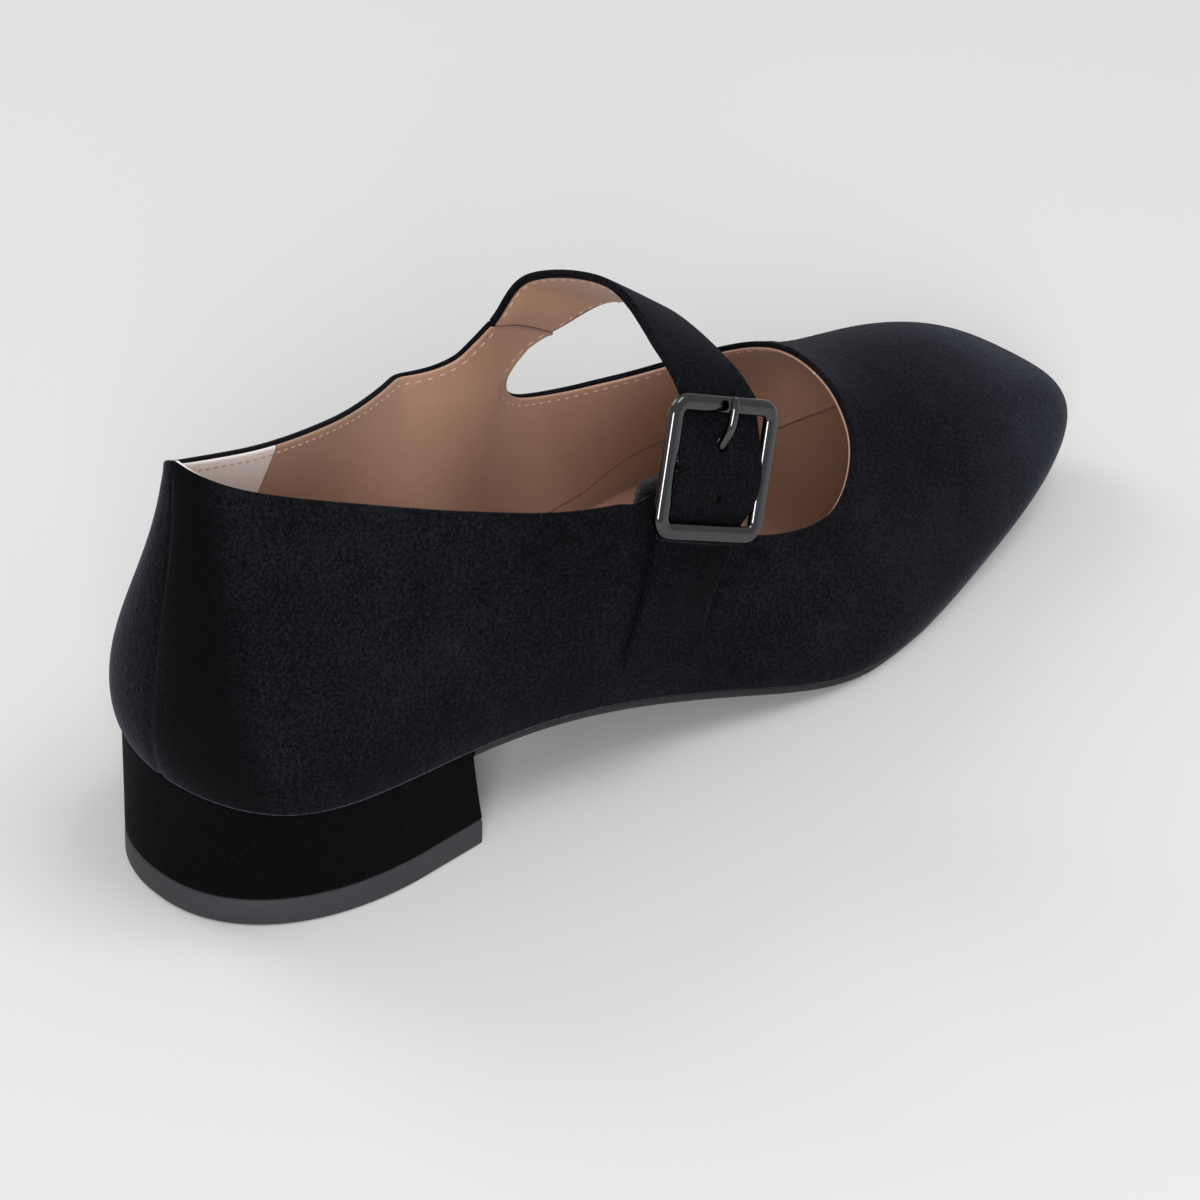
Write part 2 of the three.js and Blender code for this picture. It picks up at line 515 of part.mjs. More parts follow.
function frameSolid() {
  const body = new Body(), ring = [], bar = BUCKLE_BAR / 2, t = BUCKLE_T / 2;
  const hw = BUCKLE_W / 2 - bar, hh = BUCKLE_H / 2 - bar, r = BUCKLE_R - bar, arc = 5;
  const corners = [[1, 1, 0], [-1, 1, 1], [-1, -1, 2], [1, -1, 3]];
  for (const [sx, sy, q] of corners)
    for (let k = 0; k <= arc; k++) {
      const g = ((q + k / arc) * Math.PI) / 2, cx = sx * (hw - r), cy = sy * (hh - r);
      const o = [Math.cos(g), Math.sin(g)];
      const section = [[bar, 0], [bar * 0.78, t * 0.72], [bar * 0.3, t], [-bar * 0.3, t], [-bar * 0.78, t * 0.72], [-bar, 0], [-bar * 0.78, -t * 0.8], [0, -t], [bar * 0.78, -t * 0.8]];
      ring.push(section.map(([d, n]) => body.point(atBuckle(cx + o[0] * (r + d), cy + o[1] * (r + d), n))));
    }
  const m = ring.length, k = ring[0].length;
  for (let i = 0; i < m; i++)
    for (let j = 0; j < k; j++) body.quad(ring[i][j], ring[(i + 1) % m][j], ring[(i + 1) % m][(j + 1) % k], ring[i][(j + 1) % k]);
  const loop = body.solid();
  const half = BUCKLE_W / 2 - bar, xs = [-half, -half + 1.2, half - 1.2, half], ns = [-0.2, CENTRE_BAR_N, CENTRE_BAR_N, -0.2];
  const post = new Body(), rings = xs.map((x, i) =>
    Array.from({ length: 10 }, (_, j) => {
      const g = (2 * Math.PI * j) / 10, rr = i === 0 || i === 3 ? 0.8 : CENTRE_BAR_R;
      return post.point(atBuckle(x, rr * Math.cos(g), ns[i] + rr * Math.sin(g)));
    }));
  for (let i = 0; i < 3; i++)
    for (let j = 0; j < 10; j++) post.quad(rings[i][j], rings[i + 1][j], rings[i + 1][(j + 1) % 10], rings[i][(j + 1) % 10]);
  for (let j = 1; j < 9; j++) {
    post.tri(rings[0][0], rings[0][j], rings[0][j + 1]);
    post.tri(rings[3][0], rings[3][j + 1], rings[3][j]);
  }
  return loop.add(post.solid());
}
const prongPath = [[1.45, -1.1], [3.2, -0.5], [5.2, 0.75], [7.4, 1.95], [9.6, 2.35], [11.8, 2.4], [13.6, 2.3]].map(([v, n]) => atBuckle(0, v, n));
const prongRadius = [0.75, PRONG_R, PRONG_R, PRONG_R, PRONG_R, 0.9, 0.6];

const placed = (s, w, n) => ({ c: [s.x, s.y, s.z], a: [s.ax, s.ay, s.az], w, n });
function strapSolid(prongRoom) {
  const rear = INNER_TOPLINE[INNER_TOPLINE.length - 1], front = INNER_THROAT[0];
  const half = BUCKLE_H / 2 - BUCKLE_BAR / 2, under = -(BUCKLE_T / 2 + STRAP_T / 2 + GAP);
  const free = (v, n, steps) => ({ c: atBuckle(0, v, n), a: B.across, w: STRAP_W, n: steps });
  return band(
    [
      { rear: [rear.u, rear.w + SEAM_LIFT], front: [front.u, front.w + SEAM_LIFT], off: -WALL / 2, n: 5 },
      ...STRAP_ARCH.map((s) => placed(s, s.w ?? STRAP_W, 6)),
      free(half + 1.2, under - 0.2, 2),
      free(half - 1.6, under - 0.05, 4),
      free(0, CENTRE_BAR_N + CENTRE_BAR_R + GAP + STRAP_T / 2, 4),
      free(-half + 1.6, under - 0.35, 2),
      free(-half - 1.2, under - 0.45, 3),
      ...TAIL.map((s) => placed(s, STRAP_W, 4)),
    ],
    STRAP_T,
  ).subtract(prongRoom);
}

function elasticSolid() {
  const inner = -(WALL + GAP + ELASTIC_T / 2 + 0.15);
  const free = (a, v, n, steps) => ({ c: atBuckle(a, v, n), a: B.across, w: ELASTIC_W, n: steps });
  return band(
    [
      ...ELASTIC.map((s) => ({ rear: [s.ru, s.rw], front: [s.fu, s.fw], off: inner, n: 3 })),
      ...ELASTIC_OVER.map((s) => placed(s, ELASTIC_W, 3)),
      free(0, -(CENTRE_BAR_R + GAP + 0.6), CENTRE_BAR_N - 1.1, 0),
    ],
    ELASTIC_T,
  );
}

// ---------------------------------------------------------------- the assembly
const velvet = { color: 0x16171d, roughness: 0.95, metalness: 0 };
const MATERIAL = {
  upper: velvet,
  strap: velvet,
  heel_block: velvet,
  elastic: { color: 0x1b1b1e, roughness: 0.85, metalness: 0 },
  buckle_frame: { color: 0x55565a, roughness: 0.18, metalness: 1 },
  buckle_prong: { color: 0x55565a, roughness: 0.18, metalness: 1 },
  insole: { color: 0xb08a72, roughness: 0.6, metalness: 0 },
  outsole: { color: 0x2c2d31, roughness: 0.7, metalness: 0 },
  heel_top_piece: { color: 0x303136, roughness: 0.65, metalness: 0 },
};
const prong = rod(prongPath, prongRadius, 10);
const prongRoom = rod(
  [atBuckle(0, 1.0, -1.25), ...prongPath.slice(1)],
  prongRadius.map((r) => Math.max(r, PRONG_R) + GAP + 0.05), 12,
);
const solids = {
  upper: upperSolid(),
  insole: insoleSolid(),
  outsole: outsoleSolid(),
  heel_block: heelSolid(),
  heel_top_piece: topPieceSolid(),
  strap: strapSolid(prongRoom),
  elastic: elasticSolid(),
  buckle_frame: frameSolid(),
  buckle_prong: prong,
};

// The middle of the whole shoe goes to the origin.
const boxes = Object.values(solids).map((s) => s.boundingBox());
const middle = (k) => (Math.min(...boxes.map((b) => b.min[k])) + Math.max(...boxes.map((b) => b.max[k]))) / 2;
const group = new THREE.Group();
group.name = "mary_jane_pump";
for (const [name, solid] of Object.entries(solids)) {
  const m = solid.getMesh(), p = m.numProp, v = new Float32Array(m.numVert * 3);
  for (let i = 0; i < m.numVert; i++) v.set(m.vertProperties.subarray(i * p, i * p + 3), i * 3);
  const g = new THREE.BufferGeometry();
  g.setAttribute("position", new THREE.BufferAttribute(v, 3));
  g.setIndex(new THREE.BufferAttribute(m.triVerts, 1));
  g.translate(-middle(0), -middle(1), 0);
  g.computeVertexNormals();
  const mesh = new THREE.Mesh(g, new THREE.MeshStandardMaterial(MATERIAL[name]));
  mesh.name = name;
  group.add(mesh);
}

export default group;
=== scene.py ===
import math

import bmesh
import bpy
import numpy as np
from mathutils import Matrix, Vector


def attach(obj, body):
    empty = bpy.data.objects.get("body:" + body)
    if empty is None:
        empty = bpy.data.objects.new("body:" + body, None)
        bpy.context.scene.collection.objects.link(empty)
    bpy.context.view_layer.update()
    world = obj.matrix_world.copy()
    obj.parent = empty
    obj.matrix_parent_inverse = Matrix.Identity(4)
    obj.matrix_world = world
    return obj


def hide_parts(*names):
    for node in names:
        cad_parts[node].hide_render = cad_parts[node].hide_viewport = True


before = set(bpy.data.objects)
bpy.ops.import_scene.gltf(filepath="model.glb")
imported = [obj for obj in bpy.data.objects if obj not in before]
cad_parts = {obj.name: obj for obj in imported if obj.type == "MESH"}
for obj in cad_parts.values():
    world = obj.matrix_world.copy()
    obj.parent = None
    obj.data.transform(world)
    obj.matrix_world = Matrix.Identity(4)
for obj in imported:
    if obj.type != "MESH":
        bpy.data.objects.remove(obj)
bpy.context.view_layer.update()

# ------------------------------------------------------------------ sizes, in millimetres
# Shapes are worked out in the shoe's own drawing frame (x from the back of the heel to the toe, y to the inner side,
# z up) and moved by SHIFT into the part's frame.
SHIFT = np.array([123.56838, 1.79997, 0.0])
WALL = 1.8
ROLL_R = 0.62
FOLD_IN = 0.7
STRAP_T = 1.8
STRAP_W = 20.0
ELASTIC_W = 18.0
ELASTIC_T = 1.2
BUCKLE_W = 28.6
BUCKLE_H = 27.6
BUCKLE_BAR = 3.3
BUCKLE_T = 2.2
BUCKLE_R = 4.2
CENTRE_BAR_R = 1.0
CENTRE_BAR_N = -1.1
SEAT_BREAST = 53.3
HEEL_REAR, HEEL_HALF, HEEL_BREAST, HEEL_ROUND, HEEL_POWER = -0.4, 28.5, 55.5, 39.0, 2.25
TOP_PIECE_T = 5.7
TOE = 9

# name, fx, fy, ao, au, bo, bu, rx, hw, rz: lower edge, lower handle out and up, upper handle out and up, upper end
SECTION = [
    ("heel back", 1.5, 0.0, 8.0, 16.0, -4.8, -21.4, 5, 0.0, 95.7),
    ("inner heel round", 11.2, 23.3, 7.0, 16.0, 0.8, -21.5, 12, 7.0, 91.7),
    ("inner seat", 36.2, 27.6, 5.4, 15.6, 2.8, -19.9, 32, 12.4, 85.3),
    ("inner breast", 60.8, 26.7, 5.0, 16.0, 9.0, -17.2, 58, 17.6, 80.5),
    ("inner waist", 89.8, 23.0, 5.8, 16.8, 25.5, -7.5, 84, 21.0, 81.9),
    ("inner instep", 119.8, 31.3, 6.7, 16.9, 41.5, 3.0, 116, 0.0, 86.4),
    ("inner ball", 156.5, 41.4, 6.4, 15.5, 26.2, 5.7, 150, 0.0, 61.7),
    ("inner joint", 194.2, 36.3, 6.0, 13.4, 24.0, 7.0, 184, 0.0, 45.0),
    ("inner toe", 228.0, 24.0, 5.6, 11.4, 20.5, 4.1, 212, 0.0, 39.2),
    ("toe", 246.5, -2.0, 5.5, 10.6, 14.6, -7.2, 226, 0.0, 32.7),
    ("outer toe", 228.8, -19.4, 5.4, 10.5, 12.8, -5.0, 212, 0.0, 39.2),
    ("outer joint", 197.6, -29.0, 5.6, 12.4, 15.4, -4.4, 184, 0.0, 45.0),
    ("outer ball", 154.2, -38.0, 5.9, 14.8, 17.0, -3.9, 150, 0.0, 61.7),
    ("outer instep", 122.2, -33.9, 5.9, 16.0, 16.5, -9.9, 116, 0.0, 86.4),
    ("outer waist", 90.2, -29.1, 5.7, 16.3, 15.5, -14.2, 84, 15.0, 81.9),
    ("outer breast", 61.4, -27.2, 5.0, 16.1, 7.7, -17.1, 58, 17.6, 80.5),
    ("outer seat", 36.2, -27.6, 5.4, 15.6, 4.6, -19.6, 32, 12.4, 85.3),
    ("outer heel round", 11.2, -23.3, 7.0, 16.0, 1.9, -21.3, 12, 7.0, 91.7),
]
# x, z of the lower edge along the shoe
BOTTOM = [(-6, 26.9), (0, 26.6), (20, 25.0), (40, 23.3), (55, 22.3), (75, 20.2), (95, 16.2), (115, 10.8), (135, 5.6),
          (150, 3.0), (157, 2.55), (164, 2.4), (171, 2.55), (180, 3.2), (200, 5.4), (220, 8.4), (240, 11.5), (256, 13.6)]
# base, u, w, steps and, where a column leans forward only near its top, how sharply
INNER_TOPLINE = [(0, 0, 0.928, 5), (1, 1, 0.91, 3), (2, 2, 0.87, 3), (3, 3, 0.796, 3), (3.95, 3.97, 0.64, 2),
                 (4.22, 4.354, 0.585, 2), (4.35, 4.62, 0.583, 2), (4.43, 4.76, 0.622, 2), (4.52, 4.84, 0.668, 0)]
INNER_THROAT = [(4.78, 5.36, 0.632, 2, 5), (4.82, 5.215, 0.566, 2, 4.5), (4.86, 5.118, 0.512, 2, 3.5), (4.9, 5.1, 0.466, 2, 2.5),
                (5.0, 5.2, 0.44, 2, 1.6), (5.22, 5.42, 0.442, 2), (5.58, 5.7, 0.471, 3), (6.02, 6.05, 0.54, 3),
                (6.36, 6.36, 0.659, 3), (6.52, 6.52, 0.797, 3), (6.63, 6.63, 1, 0)]
OUTER_TOPLINE = [(18, 18, 0.928, 5), (17, 17, 0.933, 3), (16, 16, 0.896, 3), (15, 15, 0.813, 3), (14, 14, 0.67, 2),
                 (13.7, 13.7, 0.608, 2), (13.45, 13.45, 0.577, 2), (13.2, 13.2, 0.515, 2), (13, 13, 0.456, 3),
                 (12.69, 12.69, 0.433, 3), (12.25, 12.25, 0.465, 3), (11.96, 11.96, 0.533, 3), (11.68, 11.68, 0.667, 3),
                 (11.495, 11.495, 0.833, 3), (11.37, 11.37, 1, 0)]
BUCKLE_AT = np.array([108.9, -32.2, 64.2])
BUCKLE_ACROSS = np.array([0.9225, -0.1006, -0.3723])
BUCKLE_DOWN = np.array([-0.35, -0.245, -0.904])
STRAP_ARCH = [((117.5, 17.35, 78.9), (17.4, -3.3, -8.9), 23), ((117.8, -1.0, 84.15), (16.0, -0.3, -11.6), 21.5),
              ((114.9, -18.6, 80.4), (18.0, -1.4, -8.6), 20)]
TAIL = [((104.3, -31.7, 48.6), (18.3, -2.6, -7.6)), ((99.3, -32.9, 38.0), (18.7, 0.4, -6.6)),
        ((95.4, -33.6, 27.2), (19.3, -1.3, -4.6))]
ELASTIC = [((13.7, 0.44), (13.15, 0.36)), ((13.68, 0.54), (13.14, 0.45))]
ELASTIC_OVER = [((101.9, -21.6, 56.9), (18.2, 1.8, -7.6)), ((102.9, -23.6, 60.0), (18.2, 1.2, -7.6)),
                ((104.7, -27.2, 62.0), (18.2, -0.6, -7.6))]
PRONG = [(1.45, -1.1), (3.2, -0.5), (5.2, 0.75), (7.4, 1.95), (9.6, 2.35), (11.8, 2.4), (13.6, 2.3)]
PRONG_R = [0.75, 0.95, 0.95, 0.95, 0.95, 0.9, 0.6]
FINE = 5  # columns made for each one in the tables


# ------------------------------------------------------------------ curves and the surface of the last
def hermite_loop(values, m):
    values, m, n = np.asarray(values, float), np.asarray(m, float), len(values)

    def at(u):
        v = np.mod(u, n)
        i = np.floor(v).astype(int) % n
        j, t = (i + 1) % n, v - np.floor(v)
        return ((2 * t**3 - 3 * t**2 + 1) * values[i] + (t**3 - 2 * t**2 + t) * m[i]
                + (3 * t**2 - 2 * t**3) * values[j] + (t**3 - t**2) * m[j])
    return at


def loop_spline(values):
    v = np.asarray(values, float)
    m = (np.roll(v, -1) - np.roll(v, 1)) / 2
    for _ in range(60):
        m = (3 * (np.roll(v, -1) - np.roll(v, 1)) - np.roll(m, 1) - np.roll(m, -1)) / 4
    return hermite_loop(v, m)


def loop_monotone(values):
    v = np.asarray(values, float)
    d = np.roll(v, -1) - v
    a = np.roll(d, 1)
    with np.errstate(divide="ignore", invalid="ignore"):
        m = np.where(a * d > 0, 2 * a * d / (a + d), 0.0)
    return hermite_loop(v, m)


def natural_spline(xs, ys):
    xs, ys, n = np.asarray(xs, float), np.asarray(ys, float), len(xs)
    A, r = np.zeros((n, n)), np.zeros(n)
    A[0, 0] = A[-1, -1] = 1
    for i in range(1, n - 1):
        a, b = xs[i] - xs[i - 1], xs[i + 1] - xs[i]
        A[i, i - 1], A[i, i], A[i, i + 1] = a, 2 * (a + b), b
        r[i] = 6 * ((ys[i + 1] - ys[i]) / b - (ys[i] - ys[i - 1]) / a)
    m = np.linalg.solve(A, r)

    def at(x):
        x = np.asarray(x, float)
        i = np.clip(np.searchsorted(xs, x) - 1, 0, n - 2)
        h = xs[i + 1] - xs[i]
        a, b = (xs[i + 1] - x) / h, (x - xs[i]) / h
        return a * ys[i] + b * ys[i + 1] + ((a**3 - a) * m[i] + (b**3 - b) * m[i + 1]) * h * h / 6
    return at


def between(a, b, c, d, t):
    return 0.5 * (2 * b + (c - a) * t + (2 * a - 5 * b + 4 * c - d) * t * t + (3 * b - 3 * c + d - a) * t**3)


def unit(a):
    a = np.asarray(a, float)
    return a / np.maximum(np.linalg.norm(a, axis=-1, keepdims=True), 1e-12)


cols = {k: loop_spline([s[i] for s in SECTION]) for i, k in
        enumerate(["name", "fx", "fy", "ao", "au", "bo", "bu", "rx", "hw", "rz"]) if k not in ("name", "hw")}
sides = [0] + [1] * 8 + [0] + [-1] * 8
ry = loop_monotone([s[8] * side for s, side in zip(SECTION, sides)])
bottom = natural_spline([b[0] for b in BOTTOM], [b[1] for b in BOTTOM])


def outward(u):
    e = 1e-3
    dx, dy = cols["fx"](u + e) - cols["fx"](u - e), cols["fy"](u + e) - cols["fy"](u - e)
    l = np.hypot(dx, dy)
    return np.stack([-dy / l, dx / l, np.zeros_like(dx)], -1)


def lower_edge(u):
    x = cols["fx"](u)
    return np.stack([x, cols["fy"](u), bottom(x)], -1)


def surface(u, w):
    u, w = np.broadcast_arrays(np.asarray(u, float), np.asarray(w, float))
    f, n = lower_edge(u), outward(u)
    r = np.stack([cols["rx"](u), ry(u), cols["rz"](u)], -1)
    z = np.array([0.0, 0.0, 1.0])
    p = f + n * cols["ao"](u)[..., None] + z * cols["au"](u)[..., None]
    q = r + n * cols["bo"](u)[..., None] + z * cols["bu"](u)[..., None]
    w = w[..., None]
    v = 1 - w
    return v**3 * f + 3 * v * v * w * p + 3 * v * w * w * q + w**3 * r


def normal(u, w):
    u, w = np.broadcast_arrays(np.asarray(u, float), np.asarray(w, float))
    h, e = np.minimum(w, 0.97), 2e-3
    du = surface(u + e, h) - surface(u - e, h)
    dw = surface(u, h + e) - surface(u, np.maximum(h - e, 0))
    return unit(np.cross(dw, du))


def on_upper(u, w, off):
    return surface(u, w) + normal(u, w) * off


# ------------------------------------------------------------------ making meshes
def to_part(points):
    return (np.asarray(points, float) - SHIFT) / 1000.0


def make(name, points, faces, material, uv=None, sharp=None, slot=None, replaces=None, bevel=None, flip=False, wrap=None):
    me = bpy.data.meshes.new(name)
    pts = to_part(points)
    if flip:
        faces = [tuple(reversed(f)) for f in faces]
    me.from_pydata([tuple(p) for p in pts], [], faces)
    me.validate()
    if uv is not None:
        layer = me.uv_layers.new(name="UVMap")
        uv = np.asarray(uv, float)
        loops = np.empty(len(me.loops), int)
        me.loops.foreach_get("vertex_index", loops)
        flat = uv[loops]
        if wrap:  # the faces that close a loop take the far value of the first column
            starts = np.empty(len(me.polygons), int)
            counts = np.empty(len(me.polygons), int)
            me.polygons.foreach_get("loop_start", starts)
            me.polygons.foreach_get("loop_total", counts)
            owner = np.repeat(np.arange(len(starts)), counts)
            low, high = np.full(len(starts), 1e9), np.full(len(starts), -1e9)
            np.minimum.at(low, owner, flat[:, 0])
            np.maximum.at(high, owner, flat[:, 0])
            far = (high - low)[owner] > wrap / 2
            flat[far & (flat[:, 0] < (low + high)[owner] / 2), 0] += wrap
        layer.data.foreach_set("uv", flat.reshape(-1).astype(np.float32))
    me.polygons.foreach_set("use_smooth", [True] * len(me.polygons))
    ob = bpy.data.objects.new(name, me)
    bpy.context.scene.collection.objects.link(ob)
    if bevel:
        b = ob.modifiers.new("bevel", "BEVEL")
        b.width, b.segments, b.limit_method, b.angle_limit = bevel / 1000.0, 3, "ANGLE", math.radians(38)
        b.harden_normals = False
        apply(ob)
    if sharp:
        me = ob.data
        me.set_sharp_from_angle(angle=math.radians(sharp))
    ob.data.materials.clear()
    ob.data.materials.append(material)
    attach(ob, "root")
    if replaces:
        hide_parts(replaces)
    return ob


def apply(ob):
    bpy.context.view_layer.update()
    deps = bpy.context.evaluated_depsgraph_get()
    me = bpy.data.meshes.new_from_object(ob.evaluated_get(deps))
    old = ob.data
    ob.modifiers.clear()
    ob.data = me
    bpy.data.meshes.remove(old)
    me.name = ob.name
    me.polygons.foreach_set("use_smooth", [True] * len(me.polygons))


def cut(ob, points, faces, flip=False):
    """Takes a closed shape away from ob."""
    me = bpy.data.meshes.new("cutter")
    me.from_pydata([tuple(p) for p in to_part(points)], [], faces)
    bm = bmesh.new()
    bm.from_mesh(me)
    bmesh.ops.recalc_face_normals(bm, faces=bm.faces)
    bm.to_mesh(me)
    bm.free()
    tool = bpy.data.objects.new("cutter", me)
    bpy.context.scene.collection.objects.link(tool)
    m = ob.modifiers.new("cut", "BOOLEAN")
    m.operation, m.solver, m.object = "DIFFERENCE", "EXACT", tool
    apply(ob)
    bpy.data.objects.remove(tool)
    bpy.data.meshes.remove(me)


def grid_faces(rows, columns, closed_columns=False, start=0, flip=False):
    out = []
    for i in range(rows - 1):
        for j in range(columns if closed_columns else columns - 1):
            k = (j + 1) % columns
            a, b, c, d = start + i * columns + j, start + i * columns + k, start + (i + 1) * columns + k, start + (i + 1) * columns + j
            out.append((a, d, c, b) if flip else (a, b, c, d))
    return out


# ------------------------------------------------------------------ materials
def new_material(name):
    m = bpy.data.materials.new(name)
    m.use_nodes = True
    nt = m.node_tree
    nt.nodes.clear()
    out = nt.nodes.new("ShaderNodeOutputMaterial")
    bsdf = nt.nodes.new("ShaderNodeBsdfPrincipled")
    nt.links.new(bsdf.outputs[0], out.inputs[0])
    return m, nt, bsdf


class Nodes:
    def __init__(self, nt):
        self.nt = nt

    def add(self, kind, **inputs):
        n = self.nt.nodes.new(kind)
        for k, v in inputs.items():
            setattr(n, k, v)
        return n

    def link(self, a, b):
        self.nt.links.new(a, b)

    def noise(self, vector, scale, detail=2.0, roughness=0.5):
        n = self.add("ShaderNodeTexNoise")
        n.inputs["Scale"].default_value = scale
        n.inputs["Detail"].default_value = detail
        n.inputs["Roughness"].default_value = roughness
        self.link(vector, n.inputs["Vector"])
        return n.outputs["Fac"]

    def mapping(self, vector, scale):
        n = self.add("ShaderNodeMapping")
        n.inputs["Scale"].default_value = scale
        self.link(vector, n.inputs["Vector"])
        return n.outputs[0]

    def math(self, op, a, b=None, clamp=False):
        n = self.add("ShaderNodeMath", operation=op, use_clamp=clamp)
        for k, v in ((0, a), (1, b)):
            if v is None:
                continue
            if isinstance(v, (int, float)):
                n.inputs[k].default_value = v
            else:
                self.link(v, n.inputs[k])
        return n.outputs[0]

    def ramp(self, fac, stops):
        n = self.add("ShaderNodeValToRGB")
        e = n.color_ramp.elements
        while len(e) > 1:
            e.remove(e[-1])
        e[0].position, e[0].color = stops[0][0], (*stops[0][1], 1)
        for pos, colour in stops[1:]:
            k = e.new(pos)
            k.color = (*colour, 1)
        self.link(fac, n.inputs[0])
        return n.outputs[0]

    def mix(self, fac, a, b):
        n = self.add("ShaderNodeMix", data_type="RGBA")
        if isinstance(fac, (int, float)):
            n.inputs["Factor"].default_value = fac
        else:
            self.link(fac, n.inputs["Factor"])
        for k, v in ((6, a), (7, b)):
            if isinstance(v, tuple):
                n.inputs[k].default_value = (*v, 1)
            else:
                self.link(v, n.inputs[k])
        return n.outputs[2]

    def bump(self, height, strength, distance, bsdf, after=None):
        n = self.add("ShaderNodeBump")
        n.inputs["Strength"].default_value = strength
        n.inputs["Distance"].default_value = distance
        self.link(height, n.inputs["Height"])
        if after is not None:
            self.link(after, n.inputs["Normal"])
        if bsdf is not None:
            self.link(n.outputs[0], bsdf.inputs["Normal"])
        return n.outputs[0]


def velvet(name, dark=(0.0008, 0.0008, 0.0013), light=(0.0085, 0.0090, 0.0132), sheen=0.10, toe=1.0):
    """Short pile: nearly black looked at straight on, bluish grey where the pile leans to the light. With toe set, the
    forepart carries painted light and a band beside the back seam carries painted shade.
    """
    m, nt, b = new_material(name)
    N = Nodes(nt)
    co = N.add("ShaderNodeTexCoord")
    uv, ob = co.outputs["UV"], co.outputs["Object"]
    cloud = N.noise(ob, 24, 3, 0.5)
    nap = N.noise(ob, 120, 3, 0.55)
    speck = N.noise(ob, 1250, 2, 0.6)
    grain = N.noise(ob, 1900, 2, 0.6)
    a = N.math("MULTIPLY", N.math("SUBTRACT", cloud, 0.47), 1.9)
    d = N.math("MULTIPLY", N.math("SUBTRACT", nap, 0.5), 0.75)
    s = N.math("MULTIPLY", N.math("SUBTRACT", speck, 0.5), 1.5)
    g = N.math("MULTIPLY", N.math("SUBTRACT", grain, 0.5), 3.1)
    total = N.math("ADD", N.math("ADD", N.math("ADD", a, s), N.math("ADD", d, g)), 0.34, clamp=True)
    colour = N.ramp(total, [(0.0, dark), (0.5, tuple(x * 0.6 + y * 0.4 for x, y in zip(dark, light))), (1.0, light)])
    if toe:
        # painted light: the forepart is painted paler, standing in for the light that falls on the top of the toe
        sep = N.add("ShaderNodeSeparateXYZ")
        N.link(ob, sep.inputs[0])
        span = N.add("ShaderNodeMapRange", interpolation_type="SMOOTHSTEP")
        for k, v in (("From Min", 0.062), ("From Max", 0.118), ("To Min", 0.0), ("To Max", 1.0)):
            span.inputs[k].default_value = v
        N.link(sep.outputs[0], span.inputs["Value"])
        painted_toe_light = N.math("MULTIPLY", span.outputs[0], 0.8 * toe)
        colour = N.mix(painted_toe_light, colour, N.mix(total, tuple(1.6 * c for c in light), tuple(3.2 * c for c in light)))
        # painted shade: a dark band beside the back seam on the outer side, where that wall turns away from the light
        at = N.add("ShaderNodeSeparateXYZ")
        N.link(uv, at.inputs[0])
        painted_seam_shade = N.math("SUBTRACT", 1.0, N.math("MULTIPLY", N.math("ABSOLUTE", N.math("SUBTRACT", at.outputs[0], TOTAL_ARC - 13.0)), 1 / 13.0), clamp=True)
        painted_seam_shade = N.math("SMOOTH_MIN", N.math("MULTIPLY", painted_seam_shade, 2.2), 1.0)
        colour = N.mix(N.math("MULTIPLY", painted_seam_shade, 0.85, clamp=True), colour, (0.0006, 0.0006, 0.0009))
    N.link(colour, b.inputs["Base Color"])
    b.inputs["Roughness"].default_value = 0.92
    b.inputs["Specular IOR Level"].default_value = 0.08
    b.inputs["Sheen Weight"].default_value = sheen
    b.inputs["Sheen Roughness"].default_value = 0.32
    b.inputs["Sheen Tint"].default_value = (0.66, 0.70, 0.88, 1)
    pile = N.noise(ob, 1300, 3, 0.6)
    rows = N.noise(ob, 620, 2, 0.5)
    first = N.bump(rows, 0.3, 0.0004, None)
    N.bump(pile, 0.6, 0.0003, b, after=first)
    return m


def leather(name, base, shade, scale=700, rough=0.55, grip=None):
    """Smooth lining leather; grip is the paler suede patch at the back, told apart along the first UV axis."""
    m, nt, b = new_material(name)
    N = Nodes(nt)
    co = N.add("ShaderNodeTexCoord")
    uv, ob = co.outputs["UV"], co.outputs["Object"]
    tone = N.noise(ob, 26, 3, 0.55)
    grain = N.noise(ob, scale, 3, 0.6)
    colour = N.mix(N.math("MULTIPLY", N.math("SUBTRACT", tone, 0.3), 1.6, clamp=True), base, shade)
    fine = N.math("MULTIPLY", N.math("SUBTRACT", grain, 0.42), 0.55, clamp=True)
    colour = N.mix(fine, colour, tuple(c * 0.8 for c in shade))
    if grip is not None:
        sep = N.add("ShaderNodeSeparateXYZ")
        N.link(uv, sep.inputs[0])
        edge = N.math("ADD", N.math("ABSOLUTE", sep.outputs[0]), N.math("MULTIPLY", sep.outputs[1], 0.145))
        inside = N.math("LESS_THAN", edge, grip["half"])
        seam = N.math("LESS_THAN", N.math("ABSOLUTE", N.math("SUBTRACT", edge, grip["half"])), 0.22)
        colour = N.mix(inside, colour, grip["colour"])
        colour = N.mix(N.math("MULTIPLY", seam, 0.65), colour, tuple(c * 0.35 for c in shade))
    N.link(colour, b.inputs["Base Color"])
    b.inputs["Roughness"].default_value = rough
    b.inputs["Specular IOR Level"].default_value = 0.35
    b.inputs["Sheen Weight"].default_value = 0.08
    voronoi = N.add("ShaderNodeTexVoronoi", feature="DISTANCE_TO_EDGE")
    voronoi.inputs["Scale"].default_value = scale * 1.5
    N.link(ob, voronoi.inputs["Vector"])
    first = N.bump(voronoi.outputs[0], 0.12, 0.0002, None)
    N.bump(grain, 0.16, 0.0003, b, after=first)
    return m


